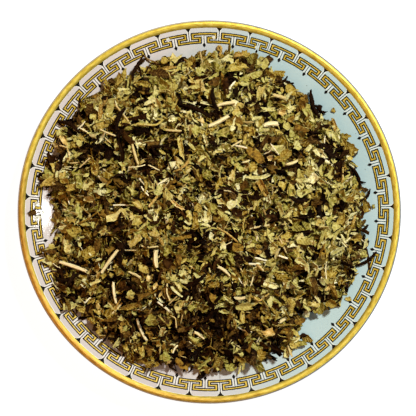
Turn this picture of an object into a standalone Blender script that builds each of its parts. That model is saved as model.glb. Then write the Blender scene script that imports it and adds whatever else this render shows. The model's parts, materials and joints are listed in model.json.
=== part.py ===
# A plate heaped with dried, cut spearmint leaf: a round glazed plate with a foot ring,
# the loose heap as one body of leaf flakes round a lumpy core, the larger stalk pieces
# and rolled dark leaves that lie on the heap, and single flakes lying on the plate's rim.
# Metres, +Z up. The origin is on the table, on the plate's axis.

import math
import random

import bmesh
import bpy
from mathutils import Euler, Matrix, Vector, noise
from mathutils.bvhtree import BVHTree

MM = 0.001

# Plate
PLATE_RADIUS = 96.0 * MM
WELL_RADIUS = 57.0 * MM
SHOULDER_RADIUS = 70.0 * MM
WELL_HEIGHT = 6.2 * MM
SHOULDER_HEIGHT = 13.4 * MM
RIM_SLOPE = 0.25
PLATE_THICKNESS = 3.4 * MM
LIP_RADIUS = 1.5 * MM
FOOT_OUTER = 50.0 * MM
FOOT_INNER = 46.0 * MM
FOOT_HEIGHT = 2.4 * MM
FOOT_ROUNDING = 0.7 * MM
PLATE_STEPS = 64

# Heap
HEAP_RADIUS = 81.0 * MM
HEAP_SHIFT = 4.0 * MM
HEAP_SHIFT_BEARING = 262.0
HEAP_RISE = 17.0 * MM
HEAP_FULLNESS = 2.5
LUMP_HEIGHT = 1.3 * MM
LUMP_SIZE = 14.0 * MM
CORE_INSET = 4.0 * MM
CORE_DROP = 2.2 * MM
CORE_EDGE = 1.0 * MM
CORE_SINK = 1.0 * MM
CORE_ROUGHNESS = 1.6 * MM
CORE_GRAIN = 11.0 * MM
CORE_SEGMENTS = 36
CORE_RINGS = 14
GAP = 0.35 * MM
SKY = 200.0 * MM
FLAT_WITHIN = math.radians(0.3)

# Bays where the plate shows in from the heap's outline: bearing, depth, half width in degrees
HEAP_BAYS = (
    (45.0, 3.0 * MM, 16.0),
    (138.0, 6.5 * MM, 6.0),
    (228.0, 3.0 * MM, 6.0),
    (267.0, 8.5 * MM, 7.0),
)

# Leaf flakes fused to the heap
FLAKE_SEED = 26
FLAKE_COUNT = 205
FLAKE_KINDS = 12
FLAKE_SIDES = 5
FLAKE_HALF_WIDTH = 6.6 * MM
FLAKE_THICKNESS = 0.75 * MM
FLAKE_WAVE = 1.1 * MM
FLAKE_STRETCH = 1.22
FLAKE_TEAR = (0.72, 1.12)
FLAKE_FOLD = (-0.25, 0.35)
FLAKE_SIZES = (0.8, 1.2)
FLAKE_TILT = math.radians(27)
FLAKE_STAND = (0.2 * MM, 1.1 * MM)
FLAKE_INSET = 1.6 * MM
GOLDEN_ANGLE = math.pi * (3 - math.sqrt(5))

# Stalk pieces on the heap: x, y, heading in degrees from +X, length, thickness
STALKS = (
    (-67.5, -27.0, -18, 15.0, 1.9),
    (-49.0, -24.0, 54, 14.5, 1.7),
    (-26.0, -23.0, 92, 8.6, 2.2),
    (-47.0, -39.8, -82, 11.0, 1.3),
    (-33.8, -58.5, -68, 12.6, 1.2),
    (-5.0, -61.0, -34, 6.2, 1.4),
    (-36.5, 28.4, -73, 10.8, 1.3),
    (-17.5, 40.0, -5, 8.4, 1.3),
    (8.3, 53.4, 11, 9.4, 1.4),
    (4.7, 44.6, 28, 11.4, 1.9),
    (30.4, 43.2, 8, 7.8, 2.2),
    (34.8, 57.4, -13, 7.4, 1.8),
    (40.6, 24.2, 18, 6.6, 1.2),
    (7.2, -28.8, -37, 7.8, 1.4),
    (36.7, -54.0, 32, 4.6, 1.8),
    (15.0, -42.0, 4, 5.6, 1.4),
)

# Rolled dark leaves: x, y, heading, length, thickness, bend
ROLLED_LEAVES = (
    (-36.0, 71.5, 62, 13.0, 2.4, 2.6),
    (52.5, 54.0, -72, 14.0, 3.0, -2.2),
    (-7.0, 50.5, -24, 17.0, 2.6, 1.8),
    (73.5, 18.5, -62, 13.0, 2.2, 2.4),
    (79.0, -24.0, 34, 12.0, 2.2, -1.6),
    (-69.5, 43.0, -30, 12.0, 2.6, 2.0),
    (2.6, 56.0, -80, 10.0, 2.8, -1.2),
    (-44.0, 46.0, 70, 12.0, 3.0, 1.6),
)

# Single flakes lying on the plate clear of the heap: distance from the axis, bearing, half width
LOOSE_FLAKES = (
    (88.6, 269.8, 1.9),
    (82.2, 21.2, 3.4),
    (81.8, 3.6, 2.4),
    (80.6, 142.0, 3.2),
    (80.4, 50.6, 1.3),
    (81.0, 182.5, 2.8),
    (82.0, 122.0, 1.5),
    (82.4, 88.0, 1.2),
)
STRAY_SEED = 27
STRAY_THICKNESS = 0.6 * MM
STRAY_WAVE = 0.35 * MM

# How thick a stalk or a rolled leaf is along its length, as shares of its thickness
STALK_TAPER = (0.82, 1.0, 0.94, 0.78)
ROLL_TAPER = (0.45, 0.85, 1.0, 0.9, 1.0, 0.7, 0.4)
STALK_BEND = 0.7
ROD_FEELERS = 41
ROD_ROOM = 1.12
ROD_STEEPEST = 0.4

COLOURS = {
    "glaze": ((0.72, 0.80, 0.76), 0.15),
    "leaf": ((0.24, 0.20, 0.06), 0.85),
    "stalk": ((0.66, 0.55, 0.28), 0.8),
    "dark_leaf": ((0.035, 0.025, 0.015), 0.7),
}


def clear_scene():
    for obj in list(bpy.data.objects):
        bpy.data.objects.remove(obj, do_unlink=True)


def new_collection(name):
    made = bpy.data.collections.new(name)
    bpy.context.scene.collection.children.link(made)
    return made


def material(name):
    if name in bpy.data.materials:
        return bpy.data.materials[name]
    colour, roughness = COLOURS[name]
    made = bpy.data.materials.new(name)
    made.use_nodes = True
    shader = made.node_tree.nodes["Principled BSDF"]
    shader.inputs["Base Color"].default_value = (*colour, 1.0)
    shader.inputs["Roughness"].default_value = roughness
    shader.inputs["Metallic"].default_value = 0.0
    return made


def add_object(name, data, collection, finish=None):
    obj = bpy.data.objects.new(name, data)
    collection.objects.link(obj)
    if finish:
        obj.data.materials.append(material(finish))
    return obj


def evaluated_mesh(obj):
    bpy.context.view_layer.update()
    graph = bpy.context.evaluated_depsgraph_get()
    return bpy.data.meshes.new_from_object(obj.evaluated_get(graph))


def on_bearing(distance, bearing):
    """The point at this distance from the axis, on a bearing in degrees clockwise from +Y."""
    angle = math.radians(bearing)
    return distance * math.sin(angle), distance * math.cos(angle)


def plate_top(radius):
    """Height of the plate's upper surface: flat well, curved shoulder, straight sloping rim."""
    if radius <= WELL_RADIUS:
        return WELL_HEIGHT
    if radius >= SHOULDER_RADIUS:
        return SHOULDER_HEIGHT + RIM_SLOPE * (radius - SHOULDER_RADIUS)
    width = SHOULDER_RADIUS - WELL_RADIUS
    t = (radius - WELL_RADIUS) / width
    ease = t * t * (3 - 2 * t)
    leave = t * t * (t - 1)
    return WELL_HEIGHT + (SHOULDER_HEIGHT - WELL_HEIGHT) * ease + RIM_SLOPE * width * leave


def arc(centre_r, centre_z, radius, start, end, points):
    """Profile points along an arc, its angles in degrees from +R towards +Z."""
    found = []
    for i in range(points):
        angle = math.radians(start + (end - start) * i / (points - 1))
        found.append((centre_r + radius * math.cos(angle), centre_z + radius * math.sin(angle)))
    return found


def plate_profile():
    """The half section from the middle of the well, over the lip, down the outside to the foot."""
    shoulder = [WELL_RADIUS + i / 5 * (SHOULDER_RADIUS - WELL_RADIUS) for i in range(6)]
    lip_r = PLATE_RADIUS - LIP_RADIUS
    lip_z = plate_top(lip_r) - LIP_RADIUS
    top = [(0.0, WELL_HEIGHT)] + [(r, plate_top(r)) for r in shoulder]
    lip = arc(lip_r, lip_z, LIP_RADIUS, 104, -62, 7)
    outside = [(r + MM, plate_top(r) - PLATE_THICKNESS) for r in reversed(shoulder[1:])]
    base_z = WELL_HEIGHT - PLATE_THICKNESS
    foot_top = [(FOOT_OUTER + 1.2 * MM, base_z)]
    outer_edge = arc(FOOT_OUTER - FOOT_ROUNDING, FOOT_ROUNDING, FOOT_ROUNDING, 0, -90, 3)
    inner_edge = arc(FOOT_INNER + FOOT_ROUNDING, FOOT_ROUNDING, FOOT_ROUNDING, -90, -180, 3)
    under = [(FOOT_INNER - 0.8 * MM, FOOT_HEIGHT), (0.0, FOOT_HEIGHT)]
    return top + lip + outside + foot_top + outer_edge + inner_edge + under


def turned_mesh(name, profile, steps, collection):
    """Turns a profile of (radius, height) points about the Z axis into a closed body."""
    mesh = bpy.data.meshes.new(name)
    edges = [(i, i + 1) for i in range(len(profile) - 1)]
    mesh.from_pydata([(r, 0.0, z) for r, z in profile], edges, [])
    obj = add_object(name, mesh, collection)
    screw = obj.modifiers.new("turn", "SCREW")
    screw.axis = "Z"
    screw.angle = math.tau
    screw.steps = steps
    screw.render_steps = steps
    screw.use_merge_vertices = True
    screw.merge_threshold = 0.00001
    return obj


def build_plate(collection):
    plate = turned_mesh("plate", plate_profile(), PLATE_STEPS, collection)
    plate.data.materials.append(material("glaze"))
    return plate


def heap_edge(bearing):
    """Distance from the plate's axis to the heap's outline on a bearing in degrees."""
    away = math.radians(bearing - HEAP_SHIFT_BEARING)
    edge = HEAP_RADIUS + HEAP_SHIFT * math.cos(away)
    for middle, depth, half_width in HEAP_BAYS:
        turn = (bearing - middle + 180) % 360 - 180
        edge -= depth * math.exp(-((turn / half_width) ** 2))
    return edge


def lumps(x, y):
    return LUMP_HEIGHT * noise.noise(Vector((x / LUMP_SIZE, y / LUMP_SIZE, 3.7)))


def heap_top(x, y):
    """Height of the heap's surface, from the rim where it thins out up to its crown."""
    edge = heap_edge(math.degrees(math.atan2(x, y)) % 360)
    share = min(1.0, math.hypot(x, y) / edge)
    crown = plate_top(HEAP_RADIUS) + HEAP_RISE
    return crown - (crown - plate_top(edge)) * share**HEAP_FULLNESS + lumps(x, y)


def core_top(x, y):
    """Height of the packed middle, whose rough surface shows between the flakes that stand out of it."""
    rough = CORE_ROUGHNESS * noise.noise(Vector((x / CORE_GRAIN, y / CORE_GRAIN, 9.1)))
    return max(plate_top(math.hypot(x, y)) + CORE_EDGE, heap_top(x, y) - CORE_DROP + rough)


def heap_normal(x, y):
    step = 2.0 * MM
    across = (heap_top(x + step, y) - heap_top(x - step, y)) / (2 * step)
    along = (heap_top(x, y + step) - heap_top(x, y - step)) / (2 * step)
    return Vector((-across, -along, 1.0)).normalized()


def build_core(collection):
    """The packed middle of the heap: a ball pressed flat, which the plate's own space is then cut from."""
    mesh = bpy.data.meshes.new("leaf_heap")
    core = bmesh.new()
    bmesh.ops.create_uvsphere(core, u_segments=CORE_SEGMENTS, v_segments=CORE_RINGS, radius=1.0)
    for vert in core.verts:
        out = min(1.0, math.hypot(vert.co.x, vert.co.y))
        bearing = math.degrees(math.atan2(vert.co.x, vert.co.y)) % 360
        reach = out * (heap_edge(bearing) - CORE_INSET)
        x, y = on_bearing(reach, bearing)
        vert.co = (x, y, core_top(x, y) if vert.co.z > 0.01 else plate_top(reach) - CORE_SINK)
    core.to_mesh(mesh)
    core.free()
    return add_object("leaf_heap", mesh, collection)


def flake_mesh(name, draw, half_width, wave):
    """A torn, crumpled piece of leaf: a few triangles folded along its length, with an uneven edge."""
    mesh = bpy.data.meshes.new(name)
    flake = bmesh.new()
    bmesh.ops.create_circle(flake, cap_ends=True, segments=FLAKE_SIDES, radius=half_width)
    fold = draw.uniform(0, math.pi)
    fold_depth = draw.uniform(*FLAKE_FOLD)
    for vert in flake.verts:
        vert.co *= draw.uniform(*FLAKE_TEAR)
        vert.co.x *= FLAKE_STRETCH
        vert.co.y /= FLAKE_STRETCH
        across = vert.co.x * math.sin(fold) + vert.co.y * math.cos(fold)
        vert.co.z = draw.uniform(-wave, wave) * 0.5 + fold_depth * abs(across)
    bmesh.ops.triangulate(flake, faces=flake.faces)
    bmesh.ops.recalc_face_normals(flake, faces=flake.faces)
    flake.to_mesh(mesh)
    flake.free()
    return mesh


def add_thickness(obj, thickness):
    solid = obj.modifiers.new("leaf thickness", "SOLIDIFY")
    solid.thickness = thickness
    solid.offset = 0.0
    return obj


def facing(normal, turn):
    """A rotation that lays a piece on a surface with this normal, turned about it."""
    return normal.to_track_quat("Z", "Y").to_matrix() @ Matrix.Rotation(turn, 3, "Z")


def surface_of(objects):
    """A function giving the height of the highest of these objects under a point."""
    bpy.context.view_layer.update()
    graph = bpy.context.evaluated_depsgraph_get()
    trees = [BVHTree.FromObject(obj, graph) for obj in objects]
    down = Vector((0, 0, -1))

    def height(x, y):
        found = [tree.ray_cast(Vector((x, y, SKY)), down)[0] for tree in trees]
        return max([hit.z for hit in found if hit] + [0.0])

    return height


def scatter_flakes(core, collection):
    """Covers the heap with flakes on a sunflower spiral, each leaning its own way and sunk into the core."""
    draw = random.Random(FLAKE_SEED)
    core_height = surface_of([core])
    kinds = [flake_mesh(f"flake_kind_{k}", draw, FLAKE_HALF_WIDTH, FLAKE_WAVE) for k in range(FLAKE_KINDS)]
    for i in range(FLAKE_COUNT):
        share = math.sqrt((i + 0.5) / FLAKE_COUNT)
        bearing = math.degrees(i * GOLDEN_ANGLE + draw.uniform(-0.04, 0.04)) % 360
        reach = share * (heap_edge(bearing) - FLAKE_INSET)
        x, y = on_bearing(reach, bearing)
        lean = Euler((draw.gauss(0, FLAKE_TILT / 2), draw.gauss(0, FLAKE_TILT / 2), 0)).to_matrix()
        turned = facing(heap_normal(x, y), draw.uniform(0, math.tau)) @ lean
        height = max(core_height(x, y), plate_top(reach) + GAP) + draw.uniform(*FLAKE_STAND)
        flake = add_object(f"flake_{i}", draw.choice(kinds), collection)
        size = draw.uniform(*FLAKE_SIZES)
        flake.matrix_world = (
            Matrix.Translation((x, y, height)) @ turned.to_4x4() @ Matrix.Diagonal((size, size, 1, 1))
        )
        add_thickness(flake, FLAKE_THICKNESS)


def plate_clearance(collection):
    """A cutter that fills the plate's own space and the gap above it."""
    reach = PLATE_RADIUS + 12 * MM
    rings = [0.0, WELL_RADIUS] + [
        WELL_RADIUS + i / 8 * (SHOULDER_RADIUS - WELL_RADIUS) for i in range(1, 9)
    ]
    profile = [(r, plate_top(r) + GAP) for r in rings + [reach]]
    profile += [(reach, -10 * MM), (0.0, -10 * MM)]
    cutter = turned_mesh("plate_clearance", profile, PLATE_STEPS, collection)
    cutter.hide_render = True
    cutter.display_type = "WIRE"
    return cutter


def tidy_body(mesh):
    """Redraws each flat face without slivers, then keeps the largest body and drops the loose scraps."""
    work = bmesh.new()
    work.from_mesh(mesh)
    bmesh.ops.dissolve_limit(work, angle_limit=FLAT_WITHIN, verts=work.verts, edges=work.edges)
    bmesh.ops.triangulate(work, faces=work.faces, quad_method="BEAUTY", ngon_method="BEAUTY")
    unseen = set(work.verts)
    bodies = []
    while unseen:
        queue = [unseen.pop()]
        body = set(queue)
        while queue:
            vert = queue.pop()
            for edge in vert.link_edges:
                other = edge.other_vert(vert)
                if other in unseen:
                    unseen.discard(other)
                    body.add(other)
                    queue.append(other)
        bodies.append(body)
    bodies.sort(key=len)
    for body in bodies[:-1]:
        bmesh.ops.delete(work, geom=list(body), context="VERTS")
    work.to_mesh(mesh)
    work.free()


def build_heap(collection, cutters):
    core = build_core(collection)
    flakes = new_collection("heap_flakes")
    scatter_flakes(core, flakes)
    cutter = plate_clearance(cutters)
    join = core.modifiers.new("fuse flakes", "BOOLEAN")
    join.operand_type = "COLLECTION"
    join.collection = flakes
    join.operation = "UNION"
    join.solver = "MANIFOLD"
    cut = core.modifiers.new("clear the plate", "BOOLEAN")
    cut.object = cutter
    cut.operation = "DIFFERENCE"
    cut.solver = "MANIFOLD"
    fused = evaluated_mesh(core)
    core.modifiers.clear()
    tidy_body(fused)
    core.data = fused
    core.data.materials.clear()
    core.data.materials.append(material("leaf"))
    for obj in list(flakes.objects) + [cutter]:
        bpy.data.objects.remove(obj, do_unlink=True)
    bpy.data.collections.remove(flakes)
    return core


def resting_line(bumps):
    """How a stiff rod lies on bumps (place, height): its slope, and its height at its middle."""
    hull = []
    for point in sorted(bumps):
        while len(hull) > 1:
            (ax, ay), (bx, by) = hull[-2], hull[-1]
            if (bx - ax) * (point[1] - ay) >= (by - ay) * (point[0] - ax):
                hull.pop()
            else:
                break
        hull.append(point)
    below = [pair for pair in zip(hull, hull[1:]) if pair[0][0] <= 0 <= pair[1][0]][0]
    (ax, ay), (bx, by) = below
    slope = max(-ROD_STEEPEST, min(ROD_STEEPEST, (by - ay) / (bx - ax)))
    return slope, max(y - slope * x for x, y in hull)


def rod_route(x, y, heading, length, bend, points):
    """A gently bent line through (x, y), as (distance along, x, y)."""
    angle = math.radians(heading)
    route = []
    for i in range(points):
        along = (i / (points - 1) - 0.5) * length
        sideways = bend * (math.cos(math.pi * along / length) - 0.6)
        px = x + along * math.cos(angle) - sideways * math.sin(angle)
        py = y + along * math.sin(angle) + sideways * math.cos(angle)
        route.append((along, px, py))
    return route


def lay_rod(name, spot, bend, taper, finish, height, collection):
    """A stalk or rolled leaf lying on whatever is under it, as a tapered tube on a bent line."""
    x, y, heading, length, thickness = spot
    length *= MM
    radius = thickness / 2 * MM
    place = (x * MM, y * MM, heading, length, bend * MM)
    bumps = []
    for along, px, py in rod_route(*place, ROD_FEELERS):
        near = [(0, 0), (radius, 0), (-radius, 0), (0, radius), (0, -radius)]
        bumps.append((along, max(height(px + dx, py + dy) for dx, dy in near)))
    slope, middle = resting_line(bumps)
    lift = radius * math.sqrt(1 + slope * slope) * ROD_ROOM + GAP
    curve = bpy.data.curves.new(name, "CURVE")
    curve.dimensions = "3D"
    curve.bevel_depth = radius
    curve.bevel_resolution = 1
    curve.use_fill_caps = True
    spline = curve.splines.new("POLY")
    spline.points.add(len(taper) - 1)
    for point, share, (along, px, py) in zip(spline.points, taper, rod_route(*place, len(taper))):
        point.co = (px, py, middle + slope * along + lift, 1.0)
        point.radius = share
    rod = add_object(name, curve, collection)
    mesh = evaluated_mesh(rod)
    bpy.data.objects.remove(rod, do_unlink=True)
    weld = bmesh.new()
    weld.from_mesh(mesh)
    bmesh.ops.remove_doubles(weld, verts=weld.verts, dist=0.00001)
    weld.to_mesh(mesh)
    weld.free()
    mesh.materials.clear()
    return add_object(name, mesh, collection, finish)


def lay_loose_flake(name, place, draw, height, collection):
    """A single flake flat on the plate's rim."""
    distance, bearing, half_width = place
    x, y = on_bearing(distance * MM, bearing)
    mesh = flake_mesh(name, draw, half_width * MM, STRAY_WAVE)
    inward = Vector((-x, -y, 0)).normalized() * RIM_SLOPE
    turned = facing((inward + Vector((0, 0, 1))).normalized(), draw.uniform(0, math.tau))
    flake = add_object(name, mesh, collection, "leaf")
    add_thickness(flake, STRAY_THICKNESS)
    solid = evaluated_mesh(flake)
    lift = max(
        height(x + spot.x, y + spot.y) - spot.z
        for spot in (turned @ vert.co for vert in solid.vertices)
    )
    flake.matrix_world = Matrix.Translation((x, y, lift + GAP)) @ turned.to_4x4()
    return flake


def main():
    clear_scene()
    part = new_collection("plate_of_dried_spearmint")
    cutters = new_collection("cutters")
    plate = build_plate(part)
    heap = build_heap(part, cutters)
    laid = [plate, heap]
    draw = random.Random(STRAY_SEED)
    for i, spot in enumerate(STALKS, start=1):
        bend = draw.uniform(-STALK_BEND, STALK_BEND)
        laid.append(lay_rod(f"stalk_{i:02d}", spot, bend, STALK_TAPER, "stalk", surface_of(laid), part))
    for i, (*spot, bend) in enumerate(ROLLED_LEAVES, start=1):
        name = f"rolled_leaf_{i:02d}"
        laid.append(lay_rod(name, spot, bend, ROLL_TAPER, "dark_leaf", surface_of(laid), part))
    for i, place in enumerate(LOOSE_FLAKES, start=1):
        laid.append(lay_loose_flake(f"loose_flake_{i:02d}", place, draw, surface_of(laid), part))


main()
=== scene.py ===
import json
import math
import random
from functools import partial

import bmesh
import bpy
import numpy as np
from mathutils import Matrix, Vector, noise

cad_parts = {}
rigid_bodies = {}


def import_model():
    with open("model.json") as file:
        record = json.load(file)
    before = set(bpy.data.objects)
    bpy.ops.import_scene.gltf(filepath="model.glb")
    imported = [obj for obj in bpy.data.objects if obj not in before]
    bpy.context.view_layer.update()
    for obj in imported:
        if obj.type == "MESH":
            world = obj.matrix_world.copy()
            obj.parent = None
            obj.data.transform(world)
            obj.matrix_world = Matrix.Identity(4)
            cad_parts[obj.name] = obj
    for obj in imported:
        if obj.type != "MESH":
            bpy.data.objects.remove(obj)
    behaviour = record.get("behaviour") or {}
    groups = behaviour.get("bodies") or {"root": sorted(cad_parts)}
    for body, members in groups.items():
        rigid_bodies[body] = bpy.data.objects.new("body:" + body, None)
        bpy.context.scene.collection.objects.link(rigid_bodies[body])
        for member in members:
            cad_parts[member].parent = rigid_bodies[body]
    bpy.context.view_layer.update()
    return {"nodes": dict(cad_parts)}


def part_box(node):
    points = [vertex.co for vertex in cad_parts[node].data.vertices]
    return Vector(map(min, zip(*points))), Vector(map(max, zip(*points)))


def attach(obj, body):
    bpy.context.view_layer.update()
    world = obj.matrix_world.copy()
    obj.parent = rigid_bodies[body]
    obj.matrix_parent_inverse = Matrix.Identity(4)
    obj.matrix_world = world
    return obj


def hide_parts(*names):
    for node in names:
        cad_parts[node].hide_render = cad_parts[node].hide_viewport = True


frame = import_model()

mm = 0.001
print("frame loaded:", len(frame["nodes"]), "nodes")


def hexColour(code):  # sRGB hex to a linear colour
    found = []
    for start in (1, 3, 5):
        value = int(code[start:start + 2], 16) / 255
        found.append(value / 12.92 if value <= 0.04045 else ((value + 0.055) / 1.055) ** 2.4)
    return (*found, 1.0)


def feed(node, inputs):  # each from a value, a socket, or a node's first output in use
    pairs = inputs.items() if isinstance(inputs, dict) else enumerate(inputs)
    for key, value in pairs:
        if isinstance(value, bpy.types.Node):
            value = next(socket for socket in value.outputs if socket.enabled)
        if isinstance(value, bpy.types.NodeSocket):
            node.id_data.links.new(value, node.inputs[key])
        else:
            node.inputs[key].default_value = value


def addNode(tree, kind, inputs=(), stops=(), **settings):  # "Math.ADD" is a Math node set to ADD
    kind, _, mode = kind.partition(".")
    node = tree.nodes.new(kind if "Node" in kind else "ShaderNode" + kind)
    if mode:
        setattr(node, "operation" if hasattr(node, "operation") else "data_type", mode)
    for name, value in settings.items():
        setattr(node, name, value)
    feed(node, inputs)
    for i, (place, code) in enumerate(stops):
        stop = node.color_ramp.elements[i] if i < 2 else node.color_ramp.elements.new(place)
        stop.position = place
        stop.color = hexColour(code)
    return node


def perMm(size):  # texture scale whose features are this many millimetres across
    return 1000.0 / size


def newMaterial(name, roughness, gloss=0.5, **values):
    made = bpy.data.materials.new(name)
    made.use_nodes = True
    tree = made.node_tree
    shader = tree.nodes["Principled BSDF"]
    feed(shader, {"Roughness": roughness, "Specular IOR Level": gloss, **values})
    return made, partial(addNode, tree), shader, addNode(tree, "TexCoord").outputs["Object"]


def newObject(name, mesh, finish=None):
    made = bpy.data.objects.new(name, mesh)
    bpy.context.scene.collection.objects.link(made)
    if finish:
        mesh.materials.clear()
        mesh.materials.append(finish)
    return made


def plainMesh(obj, name):  # the evaluated object as a mesh of its own, with the object removed
    bpy.context.view_layer.update()
    graph = bpy.context.evaluated_depsgraph_get()
    mesh = bpy.data.meshes.new_from_object(obj.evaluated_get(graph), depsgraph=graph)
    mesh.name = name
    bpy.data.objects.remove(obj, do_unlink=True)
    return mesh


def meshFrom(work, name):
    mesh = bpy.data.meshes.new(name)
    work.to_mesh(mesh)
    work.free()
    return mesh


def addAttribute(mesh, name, kind, values):
    layer = mesh.attributes.new(name, kind, "POINT")
    layer.data.foreach_set("vector" if kind == "FLOAT_VECTOR" else "value", values)


def finishPiece(obj, slotName, *nodes):
    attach(obj, "root")
    if nodes:
        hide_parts(*nodes)
    print("piece", obj.name, len(obj.data.polygons), "faces")
    return obj


def onBearing(distance, bearing):  # bearing in degrees, clockwise from +Y
    angle = math.radians(bearing)
    return distance * math.sin(angle), distance * math.cos(angle)


def addTree(obj, tree, values):  # a Geometry Nodes modifier, its inputs set by their identifiers
    modifier = obj.modifiers.new(tree.name, "NODES")
    modifier.node_group = tree
    for item in tree.interface.items_tree:
        if item.item_type == "SOCKET" and item.in_out == "INPUT" and item.name in values:
            modifier[item.identifier] = values[item.name]


def newTree(name, **sockets):  # the names of its inputs, by their kinds
    tree = bpy.data.node_groups.new(name, "GeometryNodeTree")
    tree.interface.new_socket("Geometry", in_out="INPUT", socket_type="NodeSocketGeometry")
    for kind, labels in sockets.items():
        for label in labels:
            tree.interface.new_socket(label, in_out="INPUT", socket_type="NodeSocket" + kind)
    tree.interface.new_socket("Geometry", in_out="OUTPUT", socket_type="NodeSocketGeometry")
    return tree, partial(addNode, tree), tree.nodes.new("NodeGroupInput"), tree.nodes.new("NodeGroupOutput")


# Camera, straight above as in the photograph
photoFrame = {
    "pixels": 416,
    "plateCentre": (209.25, 212.0),
    "plateRadius": 192.1,
    "distance": 650 * mm,
    "sensor": 36.0,
}
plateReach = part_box("plate")[1].x
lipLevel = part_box("plate")[1].z
pixel = plateReach / photoFrame["plateRadius"]


def atPixel(across, down):  # place on the plate of a point in the photograph
    return (across - photoFrame["plateCentre"][0]) * pixel, (photoFrame["plateCentre"][1] - down) * pixel


def buildCamera():
    middle = photoFrame["pixels"] / 2
    data = bpy.data.cameras.new("camera")
    data.sensor_width = photoFrame["sensor"]
    reach = photoFrame["distance"] - lipLevel
    data.lens = photoFrame["sensor"] * reach / (photoFrame["pixels"] * pixel)
    data.clip_start = 0.01
    camera = bpy.data.objects.new("camera", data)
    x = (middle - photoFrame["plateCentre"][0]) * pixel
    y = (photoFrame["plateCentre"][1] - middle) * pixel
    camera.location = (x, y, photoFrame["distance"])
    bpy.context.scene.collection.objects.link(camera)
    bpy.context.scene.camera = camera


buildCamera()


# Floor and light
studio = {
    "floor": "#7C7C7C",
    "floorGlow": 0.93,
    "floorSize": 6.0,
    "floorLevel": -0.1 * mm,
    "sky": "#FFC890",
    "skyStrength": 0.09,
    # name, position, size, power, colour
    "lamps": (
        ("keyLamp", (0.38, 0.47, 0.84), 0.12, 14.4, "#FFFCF2"),
        ("coolLamp", (0.46, -0.34, 0.45), 0.45, 0.75, "#D6ECFF"),
        ("warmLamp", (-0.46, -0.30, 0.42), 0.55, 1.9, "#FFB974"),
        ("glintLamp", (0.098, -0.001, 0.50), 0.013, 0.022, "#FFFFFF"),
    ),
}


def buildStudio():
    # Opal table lit from below: pure white, so that no shadow falls beside the plate
    finish, _, shader, _ = newMaterial("opalTable", 0.9)
    feed(shader, {
        "Base Color": hexColour(studio["floor"]),
        "Emission Color": hexColour("#FFFFFF"),
        "Emission Strength": studio["floorGlow"],
    })
    half = studio["floorSize"] / 2
    mesh = bpy.data.meshes.new("floor")
    corners = [(-half, -half), (half, -half), (half, half), (-half, half)]
    mesh.from_pydata([(*corner, studio["floorLevel"]) for corner in corners], [], [(0, 1, 2, 3)])
    newObject("floor", mesh, finish)
    world = bpy.data.worlds.new("softSky")
    world.use_nodes = True
    sky = world.node_tree.nodes["Background"]
    sky.inputs["Color"].default_value = hexColour(studio["sky"])
    sky.inputs["Strength"].default_value = studio["skyStrength"]
    bpy.context.scene.world = world
    for name, place, size, power, colour in studio["lamps"]:
        lamp = bpy.data.lights.new(name, "AREA")
        lamp.shape = "DISK"
        lamp.size = size
        lamp.energy = power
        lamp.color = hexColour(colour)[:3]
        stand = bpy.data.objects.new(name, lamp)
        stand.location = place
        stand.rotation_euler = Vector(place).to_track_quat("Z", "Y").to_euler()
        bpy.context.scene.collection.objects.link(stand)
    bpy.context.scene.view_settings.view_transform = "Standard"


buildStudio()
print("camera, floor and light set")


# Plate: one turned body, glazed all over but for the ring that it stands on
plateShape = {
    "reach": plateReach,
    "wellRadius": 57 * mm,
    "shoulderRadius": 70 * mm,
    "wellHeight": 6.2 * mm,
    "shoulderHeight": 13.4 * mm,
    "rimSlope": 0.25,
    "thickness": 3.4 * mm,
    "lipRadius": 1.5 * mm,
    "footOuter": 50 * mm,
    "footInner": 46 * mm,
    "footHeight": 2.4 * mm,
    "footRounding": 0.7 * mm,
    "bareBelow": 0.45 * mm,
    "turnSteps": 256,
    "shoulderPoints": 24,
    "celadon": ((0.3, "#A0BAC0"), (0.7, "#ABC4C9")),
    # painted warm light: the ivory that the glaze turns to on the side towards the warm lamp
    "flushed": ((0.3, "#BBB9BC"), (0.7, "#C5C3C5")),
    "lip": ("#5E6466", "#A69C84"),
    "lipBand": (96.4 * mm, 97.4 * mm),
    "glazeRoughness": (0.07, 0.55),
    "iron": "#5E5A4C",
    "flushBearing": 264.0,
    "flushAcross": (-14 * mm, 68 * mm),
    "clay": "#D8CBB4",
}


def plateTop(radius):
    shape = plateShape
    radius = np.asarray(radius, float)
    width = shape["shoulderRadius"] - shape["wellRadius"]
    t = np.clip((radius - shape["wellRadius"]) / width, 0, 1)
    rise = shape["shoulderHeight"] - shape["wellHeight"]
    curve = shape["wellHeight"] + rise * t * t * (3 - 2 * t) + shape["rimSlope"] * width * t * t * (t - 1)
    rim = shape["shoulderHeight"] + shape["rimSlope"] * (radius - shape["shoulderRadius"])
    return np.where(radius >= shape["shoulderRadius"], rim, curve)


def arcPoints(centreR, centreZ, radius, start, end, count):
    found = []
    for i in range(count):
        angle = math.radians(start + (end - start) * i / (count - 1))
        found.append((centreR + radius * math.cos(angle), centreZ + radius * math.sin(angle)))
    return found


lipCentre = (
    plateShape["reach"] - plateShape["lipRadius"],
    float(plateTop(plateShape["reach"] - plateShape["lipRadius"])) - plateShape["lipRadius"],
)


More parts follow.
